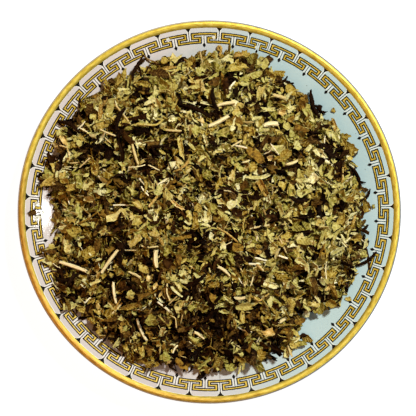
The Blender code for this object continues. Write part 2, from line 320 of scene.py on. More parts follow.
def plateProfile():
    shape = plateShape
    steps = shape["shoulderPoints"]
    width = shape["shoulderRadius"] - shape["wellRadius"]
    shoulder = [shape["wellRadius"] + width * i / (steps - 1) for i in range(steps)]
    top = [(0.0, shape["wellHeight"])]
    top += [(shape["wellRadius"] * share, shape["wellHeight"]) for share in (0.25, 0.5, 0.75)]
    top += [(r, float(plateTop(r))) for r in shoulder + [80 * mm, 88 * mm]]
    lip = arcPoints(*lipCentre, shape["lipRadius"], 104, -62, 15)
    outside = [(r + mm, float(plateTop(r)) - shape["thickness"]) for r in reversed(shoulder[1:])]
    foot, bend = shape["footRounding"], shape["footOuter"]
    under = [(bend + 1.2 * mm, shape["wellHeight"] - shape["thickness"])]
    under += [(bend + 0.25 * mm, shape["wellHeight"] - shape["thickness"] - 0.5 * mm)]
    under += arcPoints(bend - foot, foot, foot, 0, -90, 6)
    under += arcPoints(shape["footInner"] + foot, foot, foot, -90, -180, 6)
    under += [(shape["footInner"] - 0.8 * mm, shape["footHeight"])]
    under += [(shape["footInner"] * share, shape["footHeight"]) for share in (0.6, 0.3)]
    return top + lip + outside + under + [(0.0, shape["footHeight"])]


def turned(name, profile, closed=False):
    mesh = bpy.data.meshes.new(name)
    edges = [(i, i + 1) for i in range(len(profile) - 1)]
    if closed:
        edges.append((len(profile) - 1, 0))
    mesh.from_pydata([(r, 0.0, z) for r, z in profile], edges, [])
    obj = newObject(name + "Turned", mesh)
    screw = obj.modifiers.new("turn", "SCREW")
    screw.steps = screw.render_steps = plateShape["turnSteps"]
    screw.use_merge_vertices = True
    screw.merge_threshold = 0.002 * mm
    made = plainMesh(obj, name)
    work = bmesh.new()
    work.from_mesh(made)
    bmesh.ops.remove_doubles(work, verts=work.verts, dist=0.002 * mm)
    bmesh.ops.recalc_face_normals(work, faces=work.faces)
    work.to_mesh(made)
    work.free()
    made.shade_smooth()
    return made


def glazeFinish():
    # Celadon glaze on fired clay: a clear, slightly green glass that pools a little unevenly, with
    # painted warm light that turns it to a warm ivory on one side, faint clouds, a few iron specks
    # and a wet gloss, and it runs thin and grey over the lip
    wet, dry = plateShape["glazeRoughness"]
    made, add, shader, place = newMaterial("celadonGlaze", wet, IOR=1.5)
    cloud = add("TexNoise", {"Vector": place, "Scale": perMm(40), "Detail": 3.0})
    cool, warm = (
        add("ValToRGB", (cloud,), stops=plateShape[key]) for key in ("celadon", "flushed")
    )
    # painted warm light: the glaze and the lip turn warm towards bearing 264
    ahead = (*onBearing(-1.0, plateShape["flushBearing"]), 0.0)
    part = add("VectorMath.DOT_PRODUCT", (place, ahead))
    wander = add("Math.MULTIPLY_ADD", (cloud, 30 * mm, part))
    first, last = plateShape["flushAcross"]
    warmLight = add("MapRange", (wander, first, last, 1.0, 0.0), interpolation_type="SMOOTHSTEP")
    tint = add("Mix.RGBA", {0: warmLight, 6: cool, 7: warm})
    reach = add("VectorMath.LENGTH", (place,))
    thinLipAndGoldShade = add("MapRange", (reach, *plateShape["lipBand"]))
    coolLip, warmLip = (hexColour(code) for code in plateShape["lip"])
    edge = add("Mix.RGBA", {0: warmLight, 6: coolLip, 7: warmLip})
    tint = add("Mix.RGBA", {0: thinLipAndGoldShade, 6: tint, 7: edge})
    dull = add("MapRange", {"Value": thinLipAndGoldShade, "To Min": wet, "To Max": dry})
    dots = add("TexVoronoi", {"Vector": place, "Scale": perMm(6)})
    speck = add("MapRange", (dots, 0.03, 0.055, 0.6, 0.0))
    colour = add("Mix.RGBA", {0: speck, 6: tint, 7: hexColour(plateShape["iron"])})
    peel = add("TexNoise", {"Vector": place, "Scale": perMm(6), "Detail": 1.0})
    bump = add("Bump", {"Height": peel, "Strength": 0.12, "Distance": 0.1 * mm})
    feed(shader, {"Base Color": colour, "Roughness": dull, "Normal": bump})
    return made


def bareClayFinish():
    # Biscuit clay left bare where the plate stood in the kiln: matt, sandy and faintly speckled
    made, add, shader, place = newMaterial("bareClay", 0.9)
    sand = add("TexNoise", {"Vector": place, "Scale": perMm(0.7), "Detail": 2.0})
    colour = add("ValToRGB", (sand,), stops=[(0.3, "#B7A789"), (0.7, plateShape["clay"])])
    feed(shader, {"Base Color": colour})
    return made


def buildPlate():
    mesh = turned("plateBody", plateProfile())
    mesh.materials.append(glazeFinish())
    mesh.materials.append(bareClayFinish())
    inner, outer = plateShape["footInner"] - mm, plateShape["footOuter"] + mm
    for face in mesh.polygons:
        x, y, z = face.center
        onFoot = inner < math.hypot(x, y) < outer and z < plateShape["bareBelow"]
        face.material_index = 1 if onFoot else 0
    mesh.set_sharp_from_angle(angle=math.radians(50))
    return finishPiece(newObject("plateBody", mesh), "glaze", "plate")


buildPlate()
print("plate turned")


# Gold line round the lip
goldLine = {
    "innerRadius": 92.15 * mm,
    "outerAngle": 62.0,
    "proud": 0.07 * mm,
    "bead": 0.26 * mm,
    "beadWidth": 3.4 * mm,
    "sunk": 0.05 * mm,
    "bright": ((0.25, "#AE8C26"), (0.5, "#DCC64A"), (0.78, "#F0E07E")),
    "deep": ((0.25, "#845C14"), (0.5, "#A87C22"), (0.78, "#BC9640")),
    "fringe": ((0.25, "#7A6A1C"), (0.5, "#9A8628"), (0.78, "#B2A44C")),
    "fringeBand": (92.6 * mm, 93.7 * mm),
    "strokesRound": 24.0,
    "strokeWidth": 1.1,
    # bearing, from and to how far along it, and how much painted shade darkens the gold there
    "thinner": ((243.0, 60 * mm, 88 * mm, 1.0), (208.0, 55 * mm, 90 * mm, 0.8)),
}


def goldFinish():
    # Bright gold lustre brushed on over the glaze: a soft metal film, mottled by the brush along
    # the ring, with painted shade that darkens and reddens it on the lower left and along its inner edge
    made, add, shader, place = newMaterial("brushedGoldLustre", 0.5, Metallic=0.5)
    parts = add("SeparateXYZ", (place,))
    turn = add("Math.ARCTAN2", (parts.outputs["Y"], parts.outputs["X"]))
    reach = add("VectorMath.LENGTH", (place,))
    along = add("Math.MULTIPLY", (turn, goldLine["strokesRound"]))
    across = add("Math.MULTIPLY", (reach, perMm(goldLine["strokeWidth"])))
    ring = add("CombineXYZ", (along, across))
    stroke = add("TexNoise", {"Vector": ring, "Scale": 1.0, "Detail": 4.0})
    bright, deep, olive = (
        add("ValToRGB", (stroke,), stops=goldLine[key])
        for key in ("bright", "deep", "fringe")
    )
    # painted shade: the gold is darkened towards bearings 243 and 208
    thinLipAndGoldShade = []
    for bearing, first, last, most in goldLine["thinner"]:
        ahead = (*onBearing(1.0, bearing), 0.0)
        part = add("VectorMath.DOT_PRODUCT", (place, ahead))
        thinLipAndGoldShade.append(add("MapRange", (part, first, last, 0.0, most), interpolation_type="SMOOTHSTEP"))
    thinner = add("Math.MAXIMUM", thinLipAndGoldShade)
    # painted shade: the inner edge of the gold is darkened to olive
    first, last = goldLine["fringeBand"]
    flat = add("CombineXYZ", (parts.outputs["X"], parts.outputs["Y"]))
    away = add("VectorMath.LENGTH", (flat,))
    fringe = add("MapRange", (away, first, last, 1.0, 0.0))
    body = add("Mix.RGBA", {0: thinner, 6: bright, 7: deep})
    colour = add("Mix.RGBA", {0: fringe, 6: body, 7: olive})
    bump = add("Bump", {"Height": stroke, "Strength": 0.35, "Distance": 0.1 * mm})
    feed(shader, {"Base Color": colour, "Normal": bump})
    return made


def buildGoldLine():
    slope = math.atan(plateShape["rimSlope"])
    up = Vector((-math.sin(slope), math.cos(slope)))
    course = []
    start = goldLine["innerRadius"]
    for i in range(8):
        r = start + (lipCentre[0] + plateShape["lipRadius"] * up.x - start) * i / 8
        course.append((Vector((r, float(plateTop(r)))), up))
    for point in arcPoints(*lipCentre, plateShape["lipRadius"], 104, goldLine["outerAngle"], 7):
        spot = Vector(point)
        course.append((spot, (spot - Vector(lipCentre)).normalized()))
    last = len(course) - 1
    top = []
    for i, (spot, out) in enumerate(course):
        swell = math.sin(math.pi * min(1, max(0, (i + 0.35) / (last + 0.7)))) ** 0.35
        share = min(1.0, (spot.x - start) / goldLine["beadWidth"])
        crown = goldLine["bead"] * math.sin(math.pi * share)
        top.append(spot + out * (goldLine["proud"] * swell + crown))
    bottom = [spot - out * goldLine["sunk"] for spot, out in reversed(course)]
    mesh = turned("goldLine", [tuple(p) for p in top + bottom], closed=True)
    mesh.set_sharp_from_angle(angle=math.radians(60))
    return finishPiece(newObject("goldLine", mesh, goldFinish()), "glaze")


buildGoldLine()


# Printed border: a key pattern in gold with black outlines, black points and fine stems
# Across a repeat, places are shares of its pitch, with a black point at 0
border = {
    "firstPoint": 19.66,
    "repeats": 36,
    "pitch": 9.811,
    "seamPitch": 6.8,
    "shift": (0.23 * mm, 0.13 * mm, 0.0),
    "topLevel": 89.15 * mm,
    "midLevel": 87.1 * mm,
    "lowLevel": 85.15 * mm,
    "nearStem": 0.124,
    "nearTip": 0.358,
    "blackWidth": 1.5 * mm,
    "goldWidth": 0.5 * mm,
    "stretch": 1.25,
    "goldStretch": 1.5,
    "blackProud": 0.05 * mm,
    "goldProud": 0.08 * mm,
    "paleProud": 0.035 * mm,
    "sunk": 0.04 * mm,
    "stemWidth": 0.3 * mm,
    "paleWidth": 0.36 * mm,
    "paleAway": 0.6 * mm,
    "stepAlong": 0.04,
    "pointFoot": 91.0 * mm,
    "stemFoot": 84.5 * mm,
    "paleLevel": 92.3 * mm,
    "paleCorner": 1.7 * mm,
    "paleFoot": (84.9 * mm, 84.1 * mm),
    # half outlines in mm of the points at the gold line and of the drops at the stems' feet
    "point": ((2.1, 92.75), (1.7, 92.2), (1.1, 91.75), (0.6, 91.1), (0.2, 90.4)),
    "drop": ((0.19, 84.75), (0.5, 84.25), (0.88, 83.75), (0.55, 83.1), (0.0, 82.5)),
    # where the print is rubbed off, and near bearing 270 a painted glare that bleaches it: distance in mm,
    # bearing, size in mm
    "worn": (
        (87.4, 1.5, 2.2), (88.6, 346.6, 2.0), (86.0, 268.0, 3.4), (86.2, 272.5, 2.6), (83.4, 270.0, 2.6),
        (86.0, 16.0, 1.6),
    ),
    "wornGlaze": "#CDD2C6",
}
pitchLength = math.radians(border["pitch"]) * border["midLevel"]


def keyCourse():
    a, b = border["nearStem"], border["nearTip"]
    top, mid, low = border["topLevel"], border["midLevel"], border["lowLevel"]
    half = [(a, top), (a, mid), (b, mid), (b, low)]
    left = [(-x, y) for x, y in half]
    return [(-0.5, top)] + left + half[::-1] + [(0.5, top)]


def stepped(course):  # the same line with points close enough to bend round the rim
    found = [course[0]]
    for (x0, y0), (x1, y1) in zip(course, course[1:]):
        parts = max(1, math.ceil(abs(x1 - x0) / border["stepAlong"]))
        for i in range(1, parts + 1):
            found.append((x0 + (x1 - x0) * i / parts, y0 + (y1 - y0) * i / parts))
    return found


def addRibbon(work, course, width, stretch=1.0):
    spots = [Vector((x * pitchLength, y)) for x, y in stepped(course)]
    sides = []
    for i, spot in enumerate(spots):
        before = (spot - spots[i - 1]).normalized() if i else (spots[1] - spot).normalized()
        after = (spots[i + 1] - spot).normalized() if i + 1 < len(spots) else before
        mean = (before + after).normalized()
        out = Vector((-mean.y, mean.x)) * (width / 2) / max(0.5, mean.dot(before))
        sides.append([
            work.verts.new(((spot.x + side * out.x * stretch) / pitchLength, spot.y + side * out.y, 0.0))
            for side in (1, -1)
        ])
    for (a, b), (c, d) in zip(sides, sides[1:]):
        work.faces.new((a, b, d, c))


def addPatch(work, corners):
    work.faces.new([work.verts.new((x / pitchLength, y, 0.0)) for x, y in corners])


def blackMotif(work):
    addRibbon(work, keyCourse(), border["blackWidth"], border["stretch"])
    low = border["lowLevel"] + border["blackWidth"] / 2 + 0.06 * mm
    high = border["topLevel"] - border["blackWidth"] / 2 - 0.06 * mm
    addRibbon(work, [(0.0, border["pointFoot"]), (0.0, low)], border["stemWidth"])
    addRibbon(work, [(0.5, high), (0.5, border["stemFoot"])], border["stemWidth"])
    edge = [(x * mm, y * mm) for x, y in border["point"]]
    addPatch(work, [(-x, y) for x, y in edge] + edge[::-1])
    edge = [(x * mm, y * mm) for x, y in border["drop"]]
    half = pitchLength / 2
    addPatch(work, [(half - x, y) for x, y in edge] + [(half + x, y) for x, y in edge[-2::-1]])


def goldMotif(work):
    addRibbon(work, keyCourse(), border["goldWidth"], border["goldStretch"])


def paleMotif(work):
    away = border["paleAway"] / pitchLength
    low = border["lowLevel"] + border["blackWidth"] / 2 + 0.1 * mm
    high = border["topLevel"] - border["blackWidth"] / 2 - 0.1 * mm
    corner, level = border["paleCorner"], border["paleLevel"]
    middle, arcLevel = away + corner / pitchLength, level - corner
    bend = []
    for i in range(7):
        angle = math.pi - math.pi / 2 * i / 6
        across = middle + corner / pitchLength * math.cos(angle)
        bend.append((across, arcLevel + corner * math.sin(angle)))
    right = [(away, low)] + bend + [(0.5, level)]
    addRibbon(work, right, border["paleWidth"])
    addRibbon(work, [(-x, y) for x, y in right[::-1]], border["paleWidth"])
    for side in (-1, 1):
        inner, outer = 0.5 + side * away, 0.5 + side * away * 1.9
        first, last = border["paleFoot"]
        addRibbon(work, [(inner, high), (inner, first), (outer, last)], border["paleWidth"])


def borderTree():
    tree, add, source, result = newTree(
        "keyBorder", Int=["Repeats"], Vector=["Shift"], Material=["Finish"],
        Float=["Pitch", "Seam Pitch", "First Bearing", "Proud", "Sunk", "Rim Slope", "Rim Level"],
    )
    given = source.outputs
    count = add("Math.ADD", (given["Repeats"], 1.0))
    row = add("GeometryNodeMeshLine", {"Count": count, "Offset": (1.0, 0.0, 0.0)}, mode="OFFSET")
    laid = add("GeometryNodeInstanceOnPoints", {"Points": row, "Instance": given["Geometry"]})
    real = add("GeometryNodeRealizeInstances", {"Geometry": laid})
    depth = add("Math.ADD", (given["Proud"], given["Sunk"]))
    tall = add("CombineXYZ", {"Z": depth})
    raised = add(
        "GeometryNodeExtrudeMesh", {"Mesh": real, "Offset": tall, "Offset Scale": 1.0, "Individual": False},
        mode="FACES",
    )
    under = add("GeometryNodeFlipFaces", {"Mesh": real})
    body = add("GeometryNodeJoinGeometry")
    feed(body, {0: raised})
    feed(body, {0: under})
    # round the rim: x counts repeats, y is the distance from the axis
    where = add("GeometryNodeInputPosition")
    part = add("SeparateXYZ", (where,))
    whole = add("Clamp", {"Value": part.outputs["X"], "Min": 0.0, "Max": given["Repeats"]})
    rest = add("Math.SUBTRACT", (part.outputs["X"], whole))
    seam = add("Math.MULTIPLY_ADD", (rest, given["Seam Pitch"], given["First Bearing"]))
    turn = add("Math.MULTIPLY_ADD", (whole, given["Pitch"], seam))
    sine = add("Math.SINE", (turn,))
    cosine = add("Math.COSINE", (turn,))
    x = add("Math.MULTIPLY", (sine, part.outputs["Y"]))
    y = add("Math.MULTIPLY", (cosine, part.outputs["Y"]))
    flat = add("CombineXYZ", (x, y))
    moved = add("VectorMath.ADD", (flat, given["Shift"]))
    reach = add("VectorMath.LENGTH", (moved,))
    lift = add("Math.MULTIPLY_ADD", (reach, given["Rim Slope"], given["Rim Level"]))
    level = add("Math.ADD", (part.outputs["Z"], lift))
    level = add("Math.SUBTRACT", (level, given["Sunk"]))
    tall = add("CombineXYZ", {"Z": level})
    spot = add("VectorMath.ADD", (moved, tall))
    bent = add("GeometryNodeSetPosition", {"Geometry": body, "Position": spot})
    joined = add("GeometryNodeMergeByDistance", {"Geometry": bent, "Distance": 0.004 * mm})
    done = add("GeometryNodeSetMaterial", {"Geometry": joined, "Material": given["Finish"]})
    feed(result, {0: done})
    return tree


def printFinish(name, roughness, metallic, stops, gloss=0.5):
    # Screen-printed enamel fired on the glaze: flat, crisp edged, rubbed thin where it wears, and painted
    # pale as a glare on the left of the rim
    made, add, shader, place = newMaterial(name, roughness, gloss, Metallic=metallic)
    grain = add("TexNoise", {"Vector": place, "Scale": perMm(2.2), "Detail": 3.0})
    ink = add("ValToRGB", (grain,), stops=stops)
    scratch = add("TexNoise", {"Vector": place, "Scale": perMm(0.9), "Detail": 2.0})
    # painted glare: the spots near bearing 270 are bleached to the glaze colour as a reflection would
    wearAndGlare = None
    for distance, bearing, size in border["worn"]:
        spot = (*onBearing(distance * mm, bearing), float(plateTop(distance * mm)))
        gap = add("VectorMath.DISTANCE", (place, spot))
        near = add("MapRange", (gap, size * 0.3 * mm, size * mm, 0.62, 0.0))
        wearAndGlare = add("Math.MAXIMUM", (wearAndGlare, near)) if wearAndGlare else near
    bareAndGlared = add("Math.LESS_THAN", (scratch, wearAndGlare))
    colour = add("Mix.RGBA", {0: bareAndGlared, 6: ink, 7: hexColour(border["wornGlaze"])})
    feed(shader, {"Base Color": colour})
    return made


def buildBorder():
    tree = borderTree()
    blackInk = printFinish("blackEnamelPrint", 0.6, 0.0, [(0.3, "#020100"), (0.75, "#0A0703")], 0.1)
    goldInk = printFinish(
        "goldEnamelPrint", 0.45, 0.2, [(0.3, "#9C861E"), (0.5, "#BCA234"), (0.75, "#D4BC54")],
    )
    paleInk = printFinish("whiteEnamelPrint", 0.3, 0.0, [(0.3, "#CFD6D1"), (0.7, "#DCE1DC")])
    layers = (
        ("borderPale", paleMotif, "paleProud", paleInk),
        ("borderBlack", blackMotif, "blackProud", blackInk),
        ("borderGold", goldMotif, "goldProud", goldInk),
    )
    for name, motif, proud, finish in layers:
        work = bmesh.new()
        motif(work)
        bmesh.ops.recalc_face_normals(work, faces=work.faces)
        for face in work.faces:
            if face.normal.z < 0:
                face.normal_flip()
        obj = newObject(name + "Motif", meshFrom(work, name + "Motif"))
        slope = plateShape["rimSlope"]
        addTree(obj, tree, {
            "Repeats": border["repeats"],
            "Pitch": math.radians(border["pitch"]),
            "Seam Pitch": math.radians(border["seamPitch"]),
            "First Bearing": math.radians(border["firstPoint"]),
            "Proud": border[proud],
            "Sunk": border["sunk"],
            "Rim Slope": slope,
            "Rim Level": plateShape["shoulderHeight"] - slope * plateShape["shoulderRadius"],
            "Shift": border["shift"],
            "Finish": finish,
        })
        made = newObject(name, plainMesh(obj, name), finish)
        finishPiece(made, "glaze")


buildBorder()
print("border printed")


# Heap: its outline and its dome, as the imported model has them, with finer bays and bulges
heap = {
    "radius": 81 * mm,
    "shift": 4 * mm,
    "shiftBearing": 262.0,
    "rise": 17 * mm,
    "fullness": 2.5,
    "lumpHeight": 1.3 * mm,
    "lumpSize": 14 * mm,
    "looseDepth": 5.0 * mm,
    "edgeDepth": 0.9 * mm,
    "gap": 0.35 * mm,
    "lumpFade": 12 * mm,
    "coreInset": 4 * mm,
    "coreRings": 34,
    "coreSpokes": 120,
    "coreRough": 0.5 * mm,
    "coreRoughSize": 2.4 * mm,
    "clearance": 0.1 * mm,
    "ceiling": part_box("leaf_heap")[1].z - 0.1 * mm,
    # bearing, how far the outline moves out, half width in degrees
    "ripples": (
        (45, -2.6, 16), (138, -7.5, 6), (228, -3.6, 6), (264, -7.2, 6), (274.5, -8.0, 5), (12, 2.6, 8),
        (65, 2.4, 9), (105, 4.2, 11), (120, 1.6, 6), (148, 3.4, 4), (155, -1.6, 5), (189, -3.0, 11),
        (170, -0.8, 5), (333, -2.2, 9), (350, -3.2, 8), (281, 2.0, 5), (83, 2.2, 7), (316, -0.6, 4),
    ),
}


def heapEdge(bearing):
    bearing = np.asarray(bearing, float)
    edge = heap["radius"] + heap["shift"] * np.cos(np.radians(bearing - heap["shiftBearing"]))
    for middle, amount, halfWidth in heap["ripples"]:
        turn = (bearing - middle + 180) % 360 - 180
        edge = edge + amount * mm * np.exp(-((turn / halfWidth) ** 2))
    return edge


def heapTop(x, y):
    edge = heapEdge(np.degrees(np.arctan2(x, y)))
    share = np.minimum(1.0, np.hypot(x, y) / edge)
    crown = float(plateTop(heap["radius"])) + heap["rise"]
    rim = plateTop(edge) + heap["edgeDepth"]
    return crown - (crown - rim) * share ** heap["fullness"]


def lumpAt(x, y):
    size = heap["lumpSize"]
    return heap["lumpHeight"] * noise.noise(Vector((x / size, y / size, 3.7)))


# Height field that the flakes are laid on, one cell after another
pile = {"cell": 0.7 * mm, "half": 96 * mm, "settle": 0.72, "seed": 6}
pileCount = int(2 * pile["half"] / pile["cell"])
cellMiddles = (np.arange(pileCount) + 0.5) * pile["cell"] - pile["half"]
gridX, gridY = np.meshgrid(cellMiddles, cellMiddles)
gridReach = np.hypot(gridX, gridY)
gridEdge = heapEdge(np.degrees(np.arctan2(gridX, gridY)))
gridInward = gridEdge - gridReach
lumpGrid = np.array([[lumpAt(x, y) for x in cellMiddles] for y in cellMiddles])
goal = heapTop(gridX, gridY) + lumpGrid * np.clip(gridInward / heap["lumpFade"], 0, 1)
inside = gridReach < gridEdge
goal = np.where(inside, goal, plateTop(gridReach) + heap["gap"])
coreEdge = gridEdge - heap["coreInset"]
coreGoal = np.maximum(goal - heap["looseDepth"], plateTop(gridReach) + heap["gap"])
height = np.where(gridReach < coreEdge, coreGoal, plateTop(gridReach) + heap["clearance"])


def cellsOf(points):
    found = ((points[:, :2] + pile["half"]) / pile["cell"]).astype(int)
    found = np.clip(found, 0, pileCount - 1)
    return found[:, 1], found[:, 0]


def cellAt(x, y):
    rows, columns = cellsOf(np.array([(x, y, 0.0)]))
    return rows[0], columns[0]


def restOn(points, spot, share):  # how high the points' own zero comes to lie at this spot
    rows, columns = cellsOf(points + np.array((spot[0], spot[1], 0.0)))
    return float(np.quantile(height[rows, columns] - points[:, 2], share))


def cover(points, spot, lift, thickness):
    rows, columns = cellsOf(points + np.array((spot[0], spot[1], 0.0)))
    np.maximum.at(height, (rows, columns), points[:, 2] + lift + thickness)


def slopeAt(x, y, step):
    probe = np.array([(x - step, y, 0), (x + step, y, 0), (x, y - step, 0), (x, y + step, 0)])
    rows, columns = cellsOf(probe)
    left, right, low, high = height[rows, columns]
    return (right - left) / (2 * step), (high - low) / (2 * step)


def coreHeight(x, y):
    return float(coreGoal[cellAt(x, y)])


def nodeFrame(name):  # middle, axes and lengths of a long CAD node
    points = np.array([v.co for v in frame["nodes"][name].data.vertices])
    middle = (points.min(0) + points.max(0)) / 2
    ahead = np.linalg.svd(points - points.mean(0), full_matrices=False)[2][0]
    ahead = ahead * (1 if ahead[0] > 0 else -1)
    side = np.array((-ahead[1], ahead[0], 0.0)) / math.hypot(ahead[0], ahead[1])
    up = np.cross(ahead, side)
    local = (points - middle) @ np.column_stack((ahead, side, up))
    length, width, tall = local.max(0) - local.min(0)
    nearEnds = np.abs(local[:, 0]) > length * 0.36
    bend = float(local[~nearEnds][:, 1].mean() - local[nearEnds][:, 1].mean())
    axes = Matrix(np.column_stack((ahead, side, up)).tolist()).to_4x4()
    return {
        "points": points, "place": Matrix.Translation(Vector(middle)) @ axes,
        "length": float(length), "width": float(width), "tall": float(tall), "bend": bend,
    }


# Room that the flakes leave for the pieces that lie on them
room = {"steps": 25, "asides": (-0.6 * mm, 0.0, 0.6 * mm), "depth": 0.25, "gap": 0.3 * mm}
roof = np.full_like(goal, heap["ceiling"])
longNodes = [name for name in sorted(frame["nodes"]) if name.startswith(("stalk", "rolled"))]
for name in longNodes:
    found = nodeFrame(name)
    steps = np.linspace(-0.5, 0.5, room["steps"])[:, None] * found["length"]
    middleLine = np.array(found["place"].translation) + steps * np.array(found["place"].col[0][:3])
    for aside in room["asides"]:
        line = middleLine + aside * np.array(found["place"].col[1][:3])
        bow = found["bend"] * (1 - (steps[:, 0] / found["length"] * 2) ** 2)
        line = line + bow[:, None] * np.array(found["place"].col[1][:3])
        rows, columns = cellsOf(line)
        under = line[:, 2] - found["tall"] * room["depth"]
        np.minimum.at(roof, (rows, columns), under)
        np.minimum.at(goal, (rows, columns), under - room["gap"])


def shadeCoreFinish():
    # Dried leaf crushed small and packed under the loose flakes, coloured dark brown as painted shade in the
    # gaps between the flakes: dusty and rough
    made, add, shader, place = newMaterial("packedDriedLeaf", 0.95)
    crumb = add("TexVoronoi", {"Vector": place, "Scale": perMm(1.6)})
    # painted shade: the core is dark so that the gaps between the flakes read as shadow
    stops = [(0.2, "#150C04"), (0.55, "#2C1C09"), (0.9, "#4A3614")]
    colour = add("ValToRGB", (crumb.outputs["Color"],), stops=stops)
    bump = add("Bump", {"Height": crumb, "Strength": 0.8, "Distance": 0.5 * mm})
    feed(shader, {"Base Color": colour, "Normal": bump})
    return made


def addQuads(work, rows, closed):  # between each row of vertices and the next
    for first, second in zip(rows, rows[1:]):
        for i in range(len(first) if closed else len(first) - 1):
            j = (i + 1) % len(first)
            work.faces.new((first[i], second[i], second[j], first[j]))


def addFan(work, tip, ring):
    for i, vert in enumerate(ring):
        work.faces.new((tip, vert, ring[(i + 1) % len(ring)]))


def buildCore():
    rings, spokes = heap["coreRings"], heap["coreSpokes"]
    work = bmesh.new()
    crown = work.verts.new((0, 0, coreHeight(0, 0)))
    base = work.verts.new((0, 0, plateShape["wellHeight"] + heap["gap"]))
    upper, lower = [], []
    for ring in range(1, rings + 1):
        share = (ring / rings) ** 0.8
        above, below = [], []
        for spoke in range(spokes):
            bearing = 360 * spoke / spokes
            reach = share * (float(heapEdge(bearing)) - heap["coreInset"])
            x, y = onBearing(reach, bearing)
            floor = float(plateTop(reach)) + heap["gap"]
            rough = heap["coreRough"] * noise.noise(Vector((x, y, 0)) / heap["coreRoughSize"])
            above.append(work.verts.new((x, y, max(floor + 0.2 * mm, coreHeight(x, y) + rough))))
            below.append(work.verts.new((x, y, floor)))
        upper.append(above)
        lower.append(below)
    addFan(work, crown, upper[0])
    addQuads(work, upper + lower[::-1], True)
    addFan(work, base, lower[0])
    bmesh.ops.recalc_face_normals(work, faces=work.faces)
    core = newObject("packedLeaf", meshFrom(work, "packedLeaf"), shadeCoreFinish())
    finishPiece(core, "leaf", "leaf_heap")


buildCore()
print("packed leaf laid")


# Flake shapes: torn, folded and curled pieces of leaf, a few dozen faces each
flakeShapes = {
    "sides": 10,
    "thickness": 0.14 * mm,
    "piece": {
        "count": 12, "length": (1.7, 3.0), "width": (1.0, 2.0), "creases": (0, 1, 1, 2),
        "roll": (-250, 350), "arch": (-160, 200), "wave": (0.5, 1.2),
    },
    "shred": {
        "count": 10, "length": (1.8, 3.4), "width": (0.35, 0.75), "eitherWay": False,
        "roll": (-900, 900), "arch": (-260, 260), "twist": (-0.9, 0.9),
    },
    "curl": {
        "count": 7, "length": (2.4, 4.6), "width": (0.8, 1.3), "eitherWay": True,
        "roll": (1100, 1700), "arch": (-160, 160), "twist": (-0.7, 0.7),
    },
    "crumbCount": 6,
    "stickCount": 6,
    "tears": (1.0, 1.0, 0.84, 1.18, 0.58, 0.72, 1.28),
    "edgeCurl": (-0.3 * mm, 0.5 * mm),
    "seed": 11,
}


def foldPoint(spot, creases, roll, arch, wave, phase):  # from the flat leaf to its dried shape
    x, y = spot
    z = wave * noise.noise(Vector((x / (1.7 * mm), y / (1.7 * mm), phase)))
    for direction, angle in creases:  # the part on one side turns up about the crease
        along = x * math.cos(direction) + y * math.sin(direction)
        off = y * math.cos(direction) - x * math.sin(direction)
        if off > 0:
            z += off * math.sin(angle)
            off *= math.cos(angle)
        x = along * math.cos(direction) - off * math.sin(direction)
        y = along * math.sin(direction) + off * math.cos(direction)
    if abs(roll) > 1e-6:  # rolled about the length
        angle = y * roll
        y, z = math.sin(angle) * (1 / roll - z), (1 - math.cos(angle)) / roll + z * math.cos(angle)
    if abs(arch) > 1e-6:  # arched along the length
        angle = x * arch
        x, z = math.sin(angle) * (1 / arch - z), (1 - math.cos(angle)) / arch + z * math.cos(angle)
    return Vector((x, y, z))


def newWork():
    work = bmesh.new()
    work.verts.layers.float_vector.new("leafPlace")
    return work


def addVert(work, spot, leafPlace):  # with its place on the leaf, which the veins follow
    vert = work.verts.new(spot)
    vert[work.verts.layers.float_vector["leafPlace"]] = leafPlace
    return vert


def smoothOut(work):
    for face in work.faces:
        face.smooth = True
    bmesh.ops.recalc_face_normals(work, faces=work.faces)


def closeTube(work, rings):
    addQuads(work, rings, True)
    work.faces.new(rings[0])
    work.faces.new(rings[-1][::-1])
    smoothOut(work)


def closeSheet(work, thickness):
    smoothOut(work)
    bmesh.ops.solidify(work, geom=work.faces[:], thickness=thickness)
    bmesh.ops.recalc_face_normals(work, faces=work.faces)


def shapeMesh(name, work, sharpFrom=30):
    mesh = meshFrom(work, name)
    mesh.set_sharp_from_angle(angle=math.radians(sharpFrom))
    return mesh


def pieceShape(name, draw, length, width, creaseCount, roll, arch, wave):  # a torn patch of leaf
    work = newWork()
    sides = flakeShapes["sides"]
    phase = draw.uniform(0, 50)
    square = draw.uniform(0.0, 0.8)
    spokes = [math.tau * (i + draw.uniform(-0.32, 0.32)) / sides for i in range(sides)]
    creases = [
        (spokes[draw.randrange(sides)], draw.choice((-1, 1)) * draw.uniform(0.5, 1.25))
        for i in range(creaseCount)
    ]
    outer, inner = [], []
    for angle in spokes:
        tear = draw.choice(flakeShapes["tears"])
        c, s = math.cos(angle), math.sin(angle)
        boxed = 1 / max(abs(c), abs(s))
        reach = tear * (1 + square * (boxed - 1)) * draw.uniform(0.9, 1.08)
        flat = (c * reach * length, s * reach * width)
        for share, ring in ((1.0, outer), (draw.uniform(0.45, 0.6), inner)):
            spot = (flat[0] * share, flat[1] * share)
            place = foldPoint(spot, creases, roll, arch, wave, phase)
            if ring is outer:
                place.z += draw.uniform(*flakeShapes["edgeCurl"])
            ring.append(addVert(work, place, (*spot, phase)))
    middle = addVert(work, foldPoint((0, 0), creases, roll, arch, wave, phase), (0, 0, phase))
    addQuads(work, (inner, outer), True)
    addFan(work, middle, inner)
    closeSheet(work, flakeShapes["thickness"])
    return shapeMesh(name, work)


